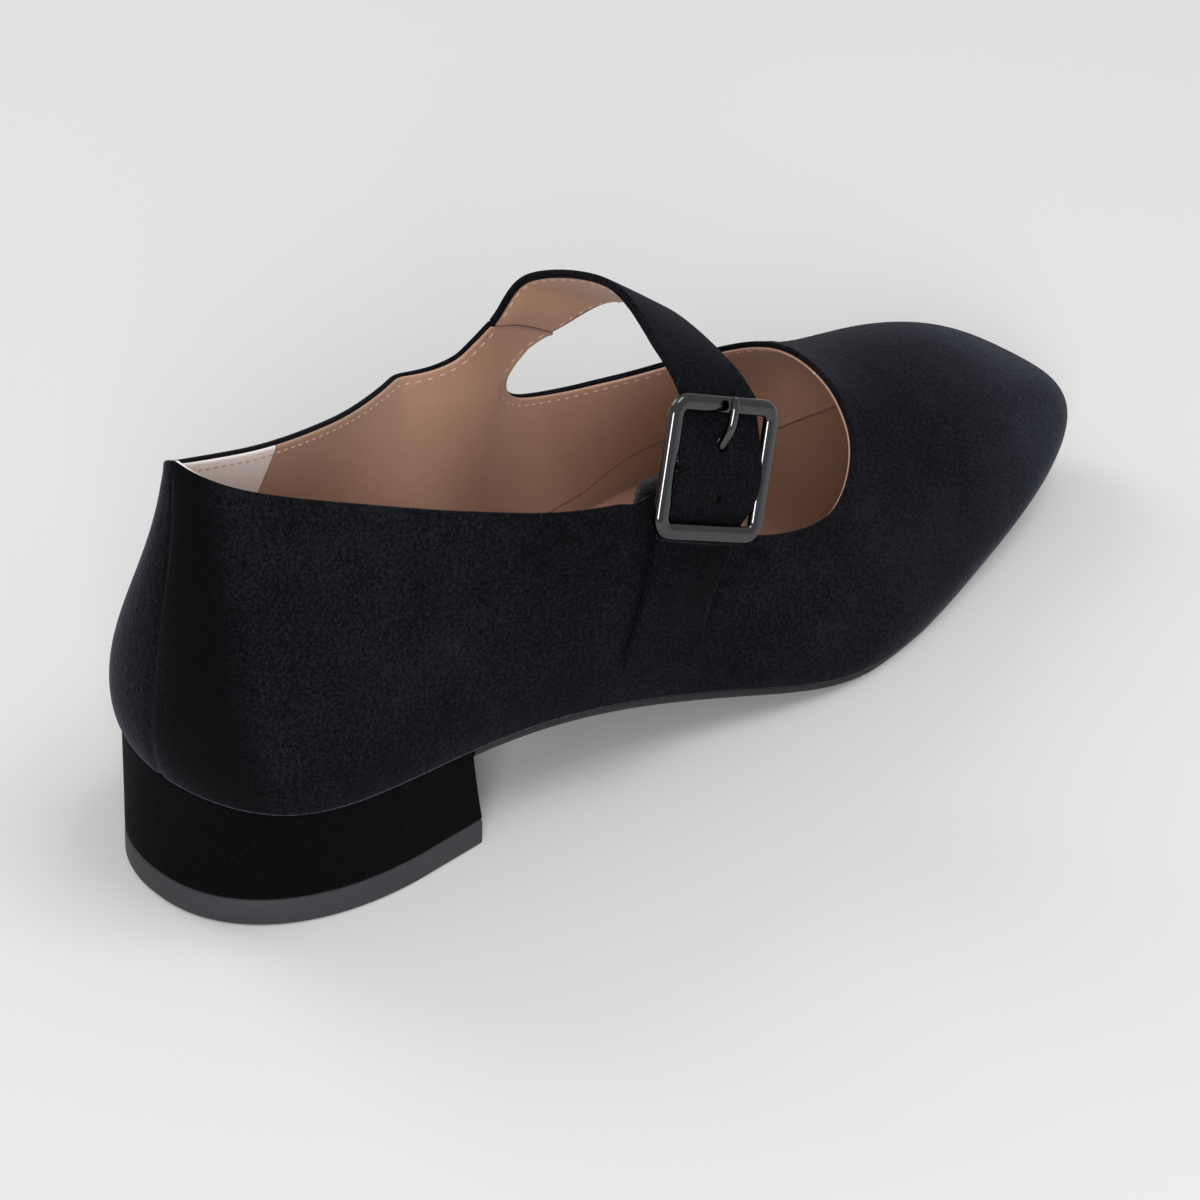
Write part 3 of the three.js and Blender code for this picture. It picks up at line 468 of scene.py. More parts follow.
def plain(name, base, vary, scale, rough, metallic=0.0, bump=0.2, distance=0.0002, level=0.4):
    m, nt, b = new_material(name)
    N = Nodes(nt)
    ob = N.add("ShaderNodeTexCoord").outputs["Object"]
    n = N.noise(ob, scale, 3, 0.6)
    N.link(N.mix(n, tuple(c * (1 - vary) for c in base), tuple(c * (1 + vary) for c in base)), b.inputs["Base Color"])
    b.inputs["Metallic"].default_value = metallic
    b.inputs["Specular IOR Level"].default_value = level
    r = N.math("ADD", N.math("MULTIPLY", N.math("SUBTRACT", N.noise(ob, scale * 0.4, 2, 0.5), 0.5), 0.12), rough, clamp=True)
    N.link(r, b.inputs["Roughness"])
    if bump:
        N.bump(n, bump, distance, b)
    return m


_u = np.linspace(0, 18, 3601)
TOTAL_ARC = float(np.linalg.norm(np.diff(lower_edge(_u), axis=0), axis=1).sum())
VELVET = velvet("velvet")
# painted shade: a much darker copy of the same velvet for the heel cover, whose sides lie in shade under the
# overhanging upper
VELVET_HEEL_SHADED = velvet("velvet_heel_painted_shade", dark=(0.0002, 0.0002, 0.0004), light=(0.0018, 0.0019, 0.0030), sheen=0.015, toe=0)
# painted shade: a darker copy of the same velvet for the strap, holding down its top where it faces the lamps; its
# sheen is lowered too
VELVET_STRAP_SHADED = velvet("velvet_strap_painted_shade", light=(0.0066, 0.0070, 0.0108), sheen=0.05, toe=0)
LINING = leather("lining_leather", (0.45, 0.268, 0.187), (0.37, 0.208, 0.139), 650, 0.5,
                 grip={"half": 61.0, "colour": (0.92, 0.86, 0.83)})
SOCK = leather("sock_leather", (0.46, 0.275, 0.192), (0.39, 0.222, 0.15), 650, 0.5)
THREAD = plain("thread", (0.55, 0.365, 0.275), 0.15, 3000, 0.7, bump=0.5)
SEAM_SHADOW = plain("seam_shadow", (0.2, 0.108, 0.072), 0.2, 900, 0.8, bump=0.1)
ELASTIC_MAT = plain("elastic_weave", (0.022, 0.023, 0.026), 0.5, 1800, 0.8, bump=0.5)
RUBBER = plain("top_piece_rubber", (0.029, 0.03, 0.034), 0.22, 1400, 0.62, bump=0.35, level=0.35)
SOLE = plain("outsole_rubber", (0.009, 0.0093, 0.011), 0.3, 900, 0.6, bump=0.45, level=0.35)
METAL = plain("gunmetal", (0.082, 0.082, 0.086), 0.06, 260, 0.1, metallic=1.0, bump=0.02)
HOLE = plain("dark_inside", (0.004, 0.004, 0.004), 0.2, 900, 0.9, bump=0.1)

# ------------------------------------------------------------------ columns round the shoe
def sample(rows, k):
    out = []
    rows = [np.array(tuple(r) + (1,) * (5 - len(r)), float) for r in rows]
    for i in range(len(rows) - 1):
        r, c = rows[i], rows[i + 1]
        a = rows[i - 1] if i else 2 * r - c
        d = rows[i + 2] if i + 2 < len(rows) else 2 * c - r
        steps = int(round(r[3])) * k
        for s in range(steps):
            t = s / steps
            base = r[0] + (c[0] - r[0]) * t
            out.append((base, between(a[1], r[1], c[1], d[1], t), between(a[2], r[2], c[2], d[2], t), r[4] + (c[4] - r[4]) * t))
    out.append(tuple(rows[-1][[0, 1, 2, 4]]))
    return out


inner = sample(INNER_TOPLINE, FINE)
throat = sample(INNER_THROAT, FINE)
rear, front = inner[-1], throat[0]
ext = [tuple(rear[k] + (front[k] - rear[k]) * s / (5 * FINE) for k in range(4)) for s in range(1, 5 * FINE)]
outer = sample(OUTER_TOPLINE, FINE)[::-1][1:-1]
first_vamp = len(inner) + len(ext) + len(throat) - 1
u0 = throat[-1][1]
VAMP = 12 * FINE
vamp = [(u0 + (TOE - u0) * s / VAMP,) * 2 + (1.0, 1.0) for s in range(1, VAMP + 1)]
toe = first_vamp + VAMP
back = [(2 * TOE - c[1],) * 2 + (1.0, 1.0) for c in (inner + ext + throat + vamp)[first_vamp:toe][::-1]]
last_vamp = toe + VAMP
COLS = np.array(inner + ext + throat + vamp + back + outer)
NC = len(COLS)
base, ut, wt, bow = COLS.T


def column(f, j=slice(None)):
    """u and w of the columns' points at share f of their height."""
    return base[j] + (ut[j] - base[j]) * f ** bow[j], wt[j] * f


# the two columns that meet at the front of the throat share one point of the topline
top_ring = list(range(0, first_vamp + 1)) + list(range(last_vamp + 1, NC))
T = surface(ut, wt)
NRM = normal(ut, wt)
TN = NRM.copy()
for j in range(first_vamp, last_vamp + 1):
    TN[j] = unit(NRM[j] + NRM[2 * toe - j])
ring_pts = T[top_ring]
ring_n = TN[top_ring]
tangent = unit(np.roll(ring_pts, -1, 0) - np.roll(ring_pts, 1, 0))
ring_e = unit(np.cross(ring_n, tangent))
# e points off the cloth's edge, on the same side of the ring all the way round
ring_e *= np.sign(ring_e[0] @ (ring_pts[0] - surface(ut[0], wt[0] * 0.9)))
NT = len(top_ring)
arc = np.concatenate([[0], np.cumsum(np.linalg.norm(np.diff(lower_edge(base), axis=0), axis=1))])
total_arc = arc[-1] + np.linalg.norm(lower_edge(base[-1]) - lower_edge(base[0]))
arc_signed = np.where(arc > total_arc / 2, arc - total_arc, arc)


# across the top of the extension the cloth runs on into the strap: no rolled edge there
i_rear, i_front = len(inner) - 1, len(inner) + len(ext)
fold = np.ones(NT)
for i in range(i_rear, i_front + 1):
    t = min(i - i_rear, i_front - i) / 3.0
    fold[i] = max(0.0, 1 - t) ** 1.5


def top_share(offset):
    """How far up its column each column's last point sits, to be offset away from the edge."""
    fs = np.linspace(0.55, 1.0, 91)
    out = np.full(NC, 0.975)
    for i, j in enumerate(top_ring):
        p = surface(*column(fs, j))
        d = (ring_pts[i] - p) @ ring_e[i]
        ok = np.where(d >= offset)[0]
        out[j] = max(0.84, fs[ok[-1]]) if len(ok) else 0.84
    sm = out.copy()
    for _ in range(3):
        sm[1:-1] = np.minimum(out[1:-1], (sm[:-2] + sm[1:-1] + sm[2:]) / 3)
    return sm


def soften(points, faces, weight, rounds):
    """Evens out the points with weight, such as the ridge where the two sides of the toe meet."""
    e = set()
    for f in faces:
        for k in range(len(f)):
            a, b = f[k], f[(k + 1) % len(f)]
            e.add((a, b) if a < b else (b, a))
    e = np.array(sorted(e))
    n = len(points)
    count = np.bincount(e.ravel(), minlength=n)[:, None].clip(1)
    pts = points.copy()
    for _ in range(rounds):
        total = np.zeros_like(pts)
        for k in range(3):
            total[:, k] = np.bincount(e[:, 0], pts[e[:, 1], k], n) + np.bincount(e[:, 1], pts[e[:, 0], k], n)
        pts += (total / count - pts) * weight[:, None]
    return pts


def ridge_weight(col, f):
    """Full on the ridge over the toe, none below it or at the throat."""
    d = np.minimum(col - first_vamp, last_vamp - col) / 10.0
    return np.clip(d, 0, 1) * np.clip((f - 0.62) / 0.22, 0, 1)


def undulate(p, n):
    """A few tenths of a millimetre of hand-lasted unevenness."""
    x, y, z = p[..., 0], p[..., 1], p[..., 2]
    a = (0.10 * np.sin(x / 9.5 + y / 14) * np.sin(z / 11 + x / 31) + 0.06 * np.sin(x / 4.7 - z / 6.1 + 1.3)
         + 0.05 * np.sin(y / 5.3 + z / 4.4))
    return p + n * (a * 0.9)[..., None]


# ------------------------------------------------------------------ velvet upper
def upper_velvet():
    share = top_share(ROLL_R + 0.4)
    rows = list((np.arange(0, 46) / 45) ** 1.1)
    pts, uvs, wts = [], [], []
    # under the edge, then the wall
    for d, lift in ((3.6, 0.02), (1.4, 0.0), (0.35, 0.0)):
        p = lower_edge(base) - outward(base) * d
        p[:, 2] = bottom(p[:, 0]) + lift
        pts.append(p)
        uvs.append(np.stack([arc, np.full(NC, -d)], 1))
        wts.append(np.zeros(NC))
    height = np.zeros(NC)
    prev = lower_edge(base)
    for r in rows:
        f = share * r
        u, w = column(f)
        p = surface(u, w)
        height = height + np.linalg.norm(p - prev, axis=1)
        prev = p
        n = normal(u, w)
        seam = np.exp(-(arc_signed / 0.8) ** 2) * 0.32
        k = min(1.0, r * 8) * np.clip((1.0 - r) * 14, 0, 1)
        pts.append(p + (undulate(p, n) - p) * np.reshape(k, (-1, 1)) - n * (seam * min(1.0, (1 - r) * 20))[:, None])
        uvs.append(np.stack([arc, height], 1))
        wts.append(ridge_weight(np.arange(NC), f))
    n_rows = len(pts)
    grid = np.concatenate(pts)
    uv = np.concatenate(uvs)
    weight = list(np.concatenate(wts))
    faces = grid_faces(n_rows, NC, True)
    # last row: start of the roll along the topline, the ridge over the vamp
    last = {}
    extra, extra_uv = [], []
    ring_start = {j: ring_pts[i] - ring_e[i] * ROLL_R * fold[i] for i, j in enumerate(top_ring)}
    for j in range(NC):
        if j in ring_start and j != last_vamp:
            last[j] = len(grid) + len(extra)
            extra.append(ring_start[j])
            extra_uv.append((arc[j], height[j] + 2))
            weight.append(0.0)
    for j in range(first_vamp + 1, last_vamp + 1):
        if 2 * toe - j < j:
            last[j] = last[2 * toe - j]
        else:
            last[j] = len(grid) + len(extra)
            extra.append(T[j])
            extra_uv.append((arc[j], height[j] + 2))
            weight.append(float(ridge_weight(np.array(j), 1.0)))
    top0 = (n_rows - 1) * NC
    for j in range(NC):
        k = (j + 1) % NC
        quad = [top0 + j, top0 + k, last[k], last[j]]
        seen = list(dict.fromkeys(quad))
        if len(seen) > 2:
            faces.append(tuple(seen))
    # roll over the topline and a short way down the inside
    steps = 8
    prev = [last[j] for j in top_ring]
    count = len(grid) + len(extra)
    ek = ring_e * fold[:, None]
    for s in range(1, steps + 3):
        if s <= steps:
            g = math.pi * s / steps
            c = ring_pts - ring_n * ROLL_R - ek * ROLL_R
            p = c + ring_n * ROLL_R * math.cos(g) + ek * ROLL_R * math.sin(g)
        else:
            p = ring_pts - ring_n * (2 * ROLL_R) - ring_e * (ROLL_R * fold[:, None] + FOLD_IN * (s - steps) / 2)
        ids = list(range(count, count + NT))
        extra.extend(list(p))
        extra_uv.extend([(arc[j], height[j] + 2 + s * 0.35) for j in top_ring])
        weight.extend([0.0] * NT)
        for i in range(NT):
            k = (i + 1) % NT
            faces.append((prev[i], prev[k], ids[k], ids[i]))
        prev, count = ids, count + NT
    pts = soften(np.concatenate([grid, np.array(extra)]), faces, np.array(weight) * 0.5, 260)
    return make("upper_velvet", pts, faces, VELVET, uv=np.concatenate([uv, np.array(extra_uv)]), slot="velvet",
                replaces="upper", flip=True, wrap=total_arc)


# ------------------------------------------------------------------ lining, with its stitched edge
LINING_EDGE = [(1.02, 0.75), (1.24, 0.46), (1.42, 0.32), (1.62, 0.36), (1.77, 0.55), (1.81, 0.85)]  # depth, below the edge


def lining():
    share = top_share(1.05)
    pts, uvs, wts = [], [], []
    for r in np.linspace(1.0, 0.08, 30):
        f = share * r
        u, w = column(f)
        p, n = surface(u, w), normal(u, w)
        pts.append(p - n * (WALL + 0.02))
        uvs.append(np.stack([arc_signed, (1 - f) * 90], 1))
        wts.append(ridge_weight(np.arange(NC), f))
    p = lower_edge(base) - outward(base) * 2.15
    p[:, 2] = bottom(p[:, 0]) + 2.0
    pts.append(p)
    uvs.append(np.stack([arc_signed, np.full(NC, 90.0)], 1))
    wts.append(np.zeros(NC))
    grid, uv, weight = np.concatenate(pts), np.concatenate(uvs), list(np.concatenate(wts))
    faces = grid_faces(len(pts), NC, True)
    extra, extra_uv = [], []
    # profile of the edge, from inside the velvet's roll to the face of the lining
    rings = []
    for depth, below in LINING_EDGE:
        k = fold[:, None]
        p = ring_pts - ring_n * (depth * k + (WALL + 0.01) * (1 - k)) - ring_e * (below * k + 0.0)
        ids = {}
        for i, j in enumerate(top_ring):
            ids[j] = len(grid) + len(extra)
            extra.append(p[i])
            extra_uv.append((arc_signed[j], 0.0))
            weight.append(0.0)
        rings.append(ids)
    for a, b in zip(rings, rings[1:]):
        for i in range(NT):
            j, k = top_ring[i], top_ring[(i + 1) % NT]
            faces.append((a[j], a[k], b[k], b[j]))
    top_id = dict(rings[-1])
    top_id[last_vamp] = top_id[first_vamp]
    for j in range(first_vamp + 1, last_vamp):
        if 2 * toe - j < j:
            top_id[j] = top_id[2 * toe - j]
        else:
            top_id[j] = len(grid) + len(extra)
            extra.append(T[j] - TN[j] * (WALL + 0.02))
            extra_uv.append((arc_signed[j], 0.0))
            weight.append(float(ridge_weight(np.array(j), 1.0)))
    for j in range(NC):
        k = (j + 1) % NC
        seen = list(dict.fromkeys([top_id[j], top_id[k], k, j]))
        if len(seen) > 2:
            faces.append(tuple(seen))
    pts = soften(np.concatenate([grid, np.array(extra)]), faces, np.array(weight) * 0.5, 260)
    return make("lining", pts, faces, LINING, uv=np.concatenate([uv, np.array(extra_uv)]), slot="lining")


def tube(name, path, radius, material, slot, sides_n=8):
    """A thin round line along path, such as the shadow line of a seam."""
    path = np.array(path)
    t = unit(np.gradient(path, axis=0))
    ref = np.array([0.3, 1.0, 0.2])
    a = unit(np.cross(t, ref))
    b = np.cross(t, a)
    pts, faces = [], []
    for i in range(len(path)):
        for k in range(sides_n):
            g = 2 * math.pi * k / sides_n
            pts.append(path[i] + (a[i] * math.cos(g) + b[i] * math.sin(g)) * radius)
    for i in range(len(path) - 1):
        for k in range(sides_n):
            m = (k + 1) % sides_n
            faces.append((i * sides_n + k, (i + 1) * sides_n + k, (i + 1) * sides_n + m, i * sides_n + m))
    faces.append(tuple(range(sides_n)))
    faces.append(tuple(reversed(range((len(path) - 1) * sides_n, len(path) * sides_n))))
    return make(name, np.array(pts), faces, material, slot=slot)


def inner_seams():
    """The edge of the sock's side pad on the inner wall, and the seam at the foot of the strap: real joints, drawn as
    dark tubes that paint the shadow in their gap.
    """
    uw = [(6.45, 0.215), (6.29, 0.205), (6.13, 0.19), (5.914, 0.151), (5.743, 0.1186), (5.427, 0.104), (5.0, 0.1), (4.4, 0.1)]
    t = np.linspace(0, len(uw) - 1, 90)
    k = np.arange(len(uw))
    us, ws = np.interp(t, k, [q[0] for q in uw]), np.interp(t, k, [q[1] for q in uw])
    for _ in range(3):
        us[1:-1], ws[1:-1] = (us[:-2] + 2 * us[1:-1] + us[2:]) / 4, (ws[:-2] + 2 * ws[1:-1] + ws[2:]) / 4
    tube("sock_pad_edge", on_upper(us, ws, -(WALL + 0.02)), 0.17, SEAM_SHADOW, "lining")
    x = np.linspace(-0.9, 0.9, 30)
    (ru, rw), (fu, fw) = INNER_TOPLINE[-1][1:3], INNER_THROAT[0][1:3]
    q = (1 + x) / 2
    tube("strap_foot_seam", on_upper(ru + (fu - ru) * q, rw + (fw - rw) * q + 0.004, -(WALL + 0.04)), 0.14, SEAM_SHADOW, "lining")


def capsules(name, places, length, radius, material, flat=0.62):
    """Stitches: places are (middle, along, out)."""
    pts, faces = [], []
    prof = [(-0.5, 0.0), (-0.42, 0.6), (-0.25, 0.95), (0.0, 1.0), (0.25, 0.95), (0.42, 0.6), (0.5, 0.0)]
    sides_n = 8
    for mid, along, out in places:
        mid, along, out = np.asarray(mid), unit(along), unit(out)
        side = np.cross(along, out)
        rings = []
        for t, r in prof:
            sag = -abs(t) * radius * 1.1
            c = mid + along * t * length + out * sag
            if r == 0:
                rings.append([len(pts)])
                pts.append(c)
            else:
                ids = []
                for k in range(sides_n):
                    g = 2 * math.pi * k / sides_n
                    ids.append(len(pts))
                    pts.append(c + side * math.cos(g) * radius * r + out * math.sin(g) * radius * r * flat)
                rings.append(ids)
        for a, b in zip(rings, rings[1:]):
            for k in range(sides_n):
                m = (k + 1) % sides_n
                if len(a) == 1:
                    faces.append((a[0], b[m], b[k]))
                elif len(b) == 1:
                    faces.append((a[k], a[m], b[0]))
                else:
                    faces.append((a[k], a[m], b[m], b[k]))
    return make(name, np.array(pts), faces, material, slot="lining")


def along_curve(points, normals, pitch, skip=None):
    """Evenly spaced places along an open or closed run of points."""
    seg = np.linalg.norm(np.diff(points, axis=0), axis=1)
    s = np.concatenate([[0], np.cumsum(seg)])
    n = max(2, int(s[-1] / pitch))
    out = []
    for k in range(n):
        d = (k + 0.5) * s[-1] / n
        i = min(np.searchsorted(s, d) - 1, len(seg) - 1)
        t = (d - s[i]) / max(seg[i], 1e-9)
        p = points[i] + (points[i + 1] - points[i]) * t
        if skip and skip(p):
            continue
        out.append((p, points[i + 1] - points[i], normals[i] + (normals[i + 1] - normals[i]) * t))
    return out


def topline_stitches():
    d = 2.0
    p = ring_pts - ring_e * d - ring_n * (WALL + 0.08)
    p = np.concatenate([p, p[:1]])
    n = np.concatenate([-ring_n, -ring_n[:1]])
    a = i_rear - 2
    b = i_front + 2
    runs = along_curve(p[: a + 1], n[: a + 1], 2.5) + along_curve(p[b:], n[b:], 2.5)
    return capsules("topline_stitches", runs, 1.6, 0.26, THREAD)


# ------------------------------------------------------------------ soles and heel
def inset(d, x_from=None, x_to=None):
    us = np.linspace(0, 18, 3601)
    p = lower_edge(us) - outward(us) * d
    a, b = p[:1801], p[1800:][::-1]
    x0 = a[0, 0] if x_from is None else x_from
    x1 = a[-1, 0] if x_to is None else x_to

    def at(t, s):
        x = x0 + (x1 - x0) * np.asarray(t, float)
        side = a if s > 0 else b
        order = np.argsort(side[:, 0])
        return np.stack([x, np.interp(x, side[order, 0], side[order, 1])], -1)
    return at


def heel_outline(grow=0.0):
    def at(t, s):
        x = HEEL_REAR - grow + (HEEL_BREAST - HEEL_REAR + grow) * np.asarray(t, float)
        r = np.minimum((x - HEEL_REAR + grow) / HEEL_ROUND, 1)
        taper = np.where(x > HEEL_REAR + HEEL_ROUND, 1 - 0.03 * (x - HEEL_REAR - HEEL_ROUND) / (HEEL_BREAST - HEEL_REAR - HEEL_ROUND), 1)
        y = s * (HEEL_HALF + grow) * taper * (1 - (1 - np.clip(r, 0, 1)) ** HEEL_POWER) ** (1 / HEEL_POWER)
        return np.stack([x, y], -1)
    return at


def plate(name, levels, rungs, closed_rear, closed_front, material, **kw):
    """Level outlines stacked from top to bottom; each is rungs across the shoe."""
    pts, faces, rings = [], [], []
    K = len(rungs)
    for outline, z in levels:
        a2, b2 = outline(rungs, 1), outline(rungs, -1)
        a, b = [], []
        for k in range(K):
            single = (k == 0 and closed_rear) or (k == K - 1 and closed_front)
            if single:
                m = (a2[k] + b2[k]) / 2
                pts.append((m[0], m[1], float(z(m[0]))))
                a.append(len(pts) - 1)
                b.append(len(pts) - 1)
            else:
                pts.append((a2[k][0], a2[k][1], float(z(a2[k][0]))))
                a.append(len(pts) - 1)
                pts.append((b2[k][0], b2[k][1], float(z(b2[k][0]))))
                b.append(len(pts) - 1)
        rings.append((a, b))

    def add(*q):
        seen = list(dict.fromkeys(q))
        if len(seen) > 2:
            faces.append(tuple(seen))
    # caps are combed into strips so that they shade as one surface
    def cap(ring, up, parts=10):
        a, b = ring
        grid = []
        for k in range(K):
            if a[k] == b[k]:
                grid.append([a[k]] * (parts + 1))
                continue
            pa, pb = np.array(pts[a[k]]), np.array(pts[b[k]])
            row = [a[k]]
            for q in range(1, parts):
                pts.append(tuple(pa + (pb - pa) * q / parts))
                row.append(len(pts) - 1)
            row.append(b[k])
            grid.append(row)
        for k in range(K - 1):
            for q in range(parts):
                if up:
                    add(grid[k][q], grid[k][q + 1], grid[k + 1][q + 1], grid[k + 1][q])
                else:
                    add(grid[k][q], grid[k + 1][q], grid[k + 1][q + 1], grid[k][q + 1])
        return grid
    g0 = cap(rings[0], True)
    g1 = cap(rings[-1], False)
    for (a, b), (c, d) in zip(rings, rings[1:]):
        for k in range(K - 1):
            add(a[k], a[k + 1], c[k + 1], c[k])
            add(b[k], d[k], d[k + 1], b[k + 1])
    parts = 10
    ends = []
    if not closed_rear:
        ends.append((0, False))
    if not closed_front:
        ends.append((K - 1, True))
    for k, frontal in ends:
        rows = [g0[k]]
        for a, b in rings[1:-1]:
            pa, pb = np.array(pts[a[k]]), np.array(pts[b[k]])
            row = [a[k]]
            for q in range(1, parts):
                pts.append(tuple(pa + (pb - pa) * q / parts))
                row.append(len(pts) - 1)
            row.append(b[k])
            rows.append(row)
        rows.append(g1[k])
        for r0, r1 in zip(rows, rows[1:]):
            for q in range(parts):
                if frontal:
                    add(r0[q], r0[q + 1], r1[q + 1], r1[q])
                else:
                    add(r0[q], r1[q], r1[q + 1], r0[q + 1])
    return make(name, np.array(pts), faces, material, **kw)


def both_round(n):
    return (1 - np.cos(np.pi * np.arange(n + 1) / n)) / 2


def front_round(n):
    return np.sin(np.pi * np.arange(n + 1) / (2 * n))


def rear_round(n):
    return 1 - np.cos(np.pi * np.arange(n + 1) / (2 * n))


def insole():
    top = 4.4
    levels = [(inset(3.6), lambda x: bottom(x) + top + 0.02), (inset(3.0), lambda x: bottom(x) + top - 0.02),
              (inset(2.62), lambda x: bottom(x) + top - 0.25), (inset(2.5), lambda x: bottom(x) + top - 0.6),
              (inset(2.5), lambda x: bottom(x) + 2.2), (inset(2.7), lambda x: bottom(x) + 1.9),
              (inset(7.6), lambda x: bottom(x) + 1.9), (inset(7.6), lambda x: bottom(x) + 0.4)]
    return plate("insole_sock", levels, both_round(130), True, True, SOCK, sharp=50, slot="lining", replaces="insole")


def outsole():
    x0 = SEAT_BREAST + 1.0
    floor = lambda x: np.maximum(0, bottom(x) - 2.7)
    levels = [(inset(0.95, x0), lambda x: bottom(x) - 0.28), (inset(0.62, x0), lambda x: bottom(x) - 0.5),
              (inset(0.6, x0), lambda x: floor(x) + 1.3), (inset(0.95, x0), lambda x: floor(x) + 0.55),
              (inset(1.6, x0), lambda x: floor(x) + 0.12), (inset(2.4, x0), lambda x: floor(x) + 0.0)]
    return plate("outsole_rubber", levels, front_round(120), False, True, SOLE, sharp=50, slot="outsole", replaces="outsole")


def heel():
    seat, floor = inset(0.15, None, SEAT_BREAST), heel_outline()
    z1 = TOP_PIECE_T + 0.12

    def level(h, grow=0.0):
        k = h + 0.25 * h * (1 - h)

        def outline(t, s):
            a, b = seat(t, s), floor(t, s)
            p = b + (a - b) * k
            if grow:
                m = np.array([27.0, 0.0])
                p = p + (p - m) * grow / 28.0
            return p
        return outline, lambda x: z1 + (bottom(np.maximum(x, 1)) - 0.12 - z1) * h
    hs = [1, 0.985, 0.9, 0.78, 0.64, 0.5, 0.36, 0.22, 0.1, 0.02, 0]
    levels = [level(h, -0.5 if h in (1, 0) else 0.0) for h in hs]
    return plate("heel_cover", levels, rear_round(60), True, False, VELVET_HEEL_SHADED, sharp=55, bevel=0.7, slot="velvet", replaces="heel_block")


def top_piece():
    z = lambda v: (lambda x: v)
    levels = [(heel_outline(-0.35), z(TOP_PIECE_T)), (heel_outline(0.0), z(TOP_PIECE_T - 0.4)), (heel_outline(0.06), z(3.0)),
              (heel_outline(0.08), z(0.7)), (heel_outline(-0.1), z(0.25)), (heel_outline(-0.5), z(0.0))]
    return plate("heel_tip_rubber", levels, rear_round(60), True, False, RUBBER, sharp=50, bevel=0.3, slot="top_piece", replaces="heel_top_piece")


# ------------------------------------------------------------------ bands
across = unit(BUCKLE_ACROSS)
down = unit(BUCKLE_DOWN - across * (BUCKLE_DOWN @ across))
out_dir = np.cross(down, across)


def at_buckle(a, v, n):
    return BUCKLE_AT + across * a - down * v + out_dir * n


def line_points(section, xs):
    kind = section[0]
    if kind == "on":
        (ru, rw), (fu, fw), off = section[1:4]
        t = (1 + xs) / 2
        return on_upper(ru + (fu - ru) * t, rw + (fw - rw) * t, off)
    c, a, w = section[1:4]
    return np.array(c) + unit(a) * (xs * w / 2)[:, None]


def band_grid(sections, xs, k):
    K = [line_points(s, xs) for s in sections]
    grid = []
    last = len(K) - 1
    for i in range(last):
        a = K[i - 1] if i else 2 * K[0] - K[1]
        d = K[i + 2] if i + 1 < last else 2 * K[last] - K[last - 1]
        steps = sections[i][-1] * k
        for s in range(steps):
            grid.append(between(a, K[i], K[i + 1], d, s / steps))
    grid.append(K[last])
    g = np.array(grid)
    along = np.gradient(g, axis=0)
    side = np.gradient(g, axis=1)
    return g, -unit(np.cross(side, along))


def strap_sections():
    rear, front = INNER_TOPLINE[-1], INNER_THROAT[0]
    half = BUCKLE_H / 2 - BUCKLE_BAR / 2
    under = -(BUCKLE_T / 2 + STRAP_T / 2 + 0.3)
    free = lambda v, n, steps, w=STRAP_W: ("free", at_buckle(0, v, n), across, w, steps)
    return ([("on", (rear[1], rear[2] + 0.006), (front[1], front[2] + 0.006), -WALL / 2, 5)]
            + [("free", c, a, w, 6) for c, a, w in STRAP_ARCH]
            + [free(half + 1.2, under - 0.2, 2), free(half - 1.6, under - 0.05, 4, 21.4),
               free(0, CENTRE_BAR_N + CENTRE_BAR_R + 0.3 + STRAP_T / 2, 3, 21.8), free(-6.2, 0.3, 3, 21.8),
               free(-half + 1.2, under - 0.25, 2, 21.4), free(-half - 1.2, under - 0.45, 3)]
            + [("free", c, a, STRAP_W, 4) for c, a in TAIL])


def closed_band(name, g, n, xs_half, hi, lo, material, uv_scale=1.0, **kw):
    """A closed strip from a grid: hi and lo are the heights of its faces for each place across."""
    R, Wd = g.shape[:2]
    top = g + n * np.asarray(hi)[None, :, None]
    low = g + n * np.asarray(lo)[None, :, None]
    ring = np.concatenate([top, low[:, ::-1]], axis=1)
    k = ring.shape[1]
    pts = ring.reshape(-1, 3)
    faces = grid_faces(R, k, True)
    faces.append(tuple(reversed(range(k))))
    faces.append(tuple(range((R - 1) * k, R * k)))
    s = np.concatenate([[0], np.cumsum(np.linalg.norm(np.diff(g[:, Wd // 2], axis=0), axis=1))])
    xs = np.concatenate([xs_half, xs_half[::-1]])
    uv = np.stack([np.tile(xs * 10 * uv_scale, R), np.repeat(s, k)], 1)
    ob = make(name, pts, faces, material, uv=uv, **kw)
    bm = bmesh.new()
    bm.from_mesh(ob.data)
    bmesh.ops.recalc_face_normals(bm, faces=bm.faces)
    bm.to_mesh(ob.data)
    bm.free()
    return ob


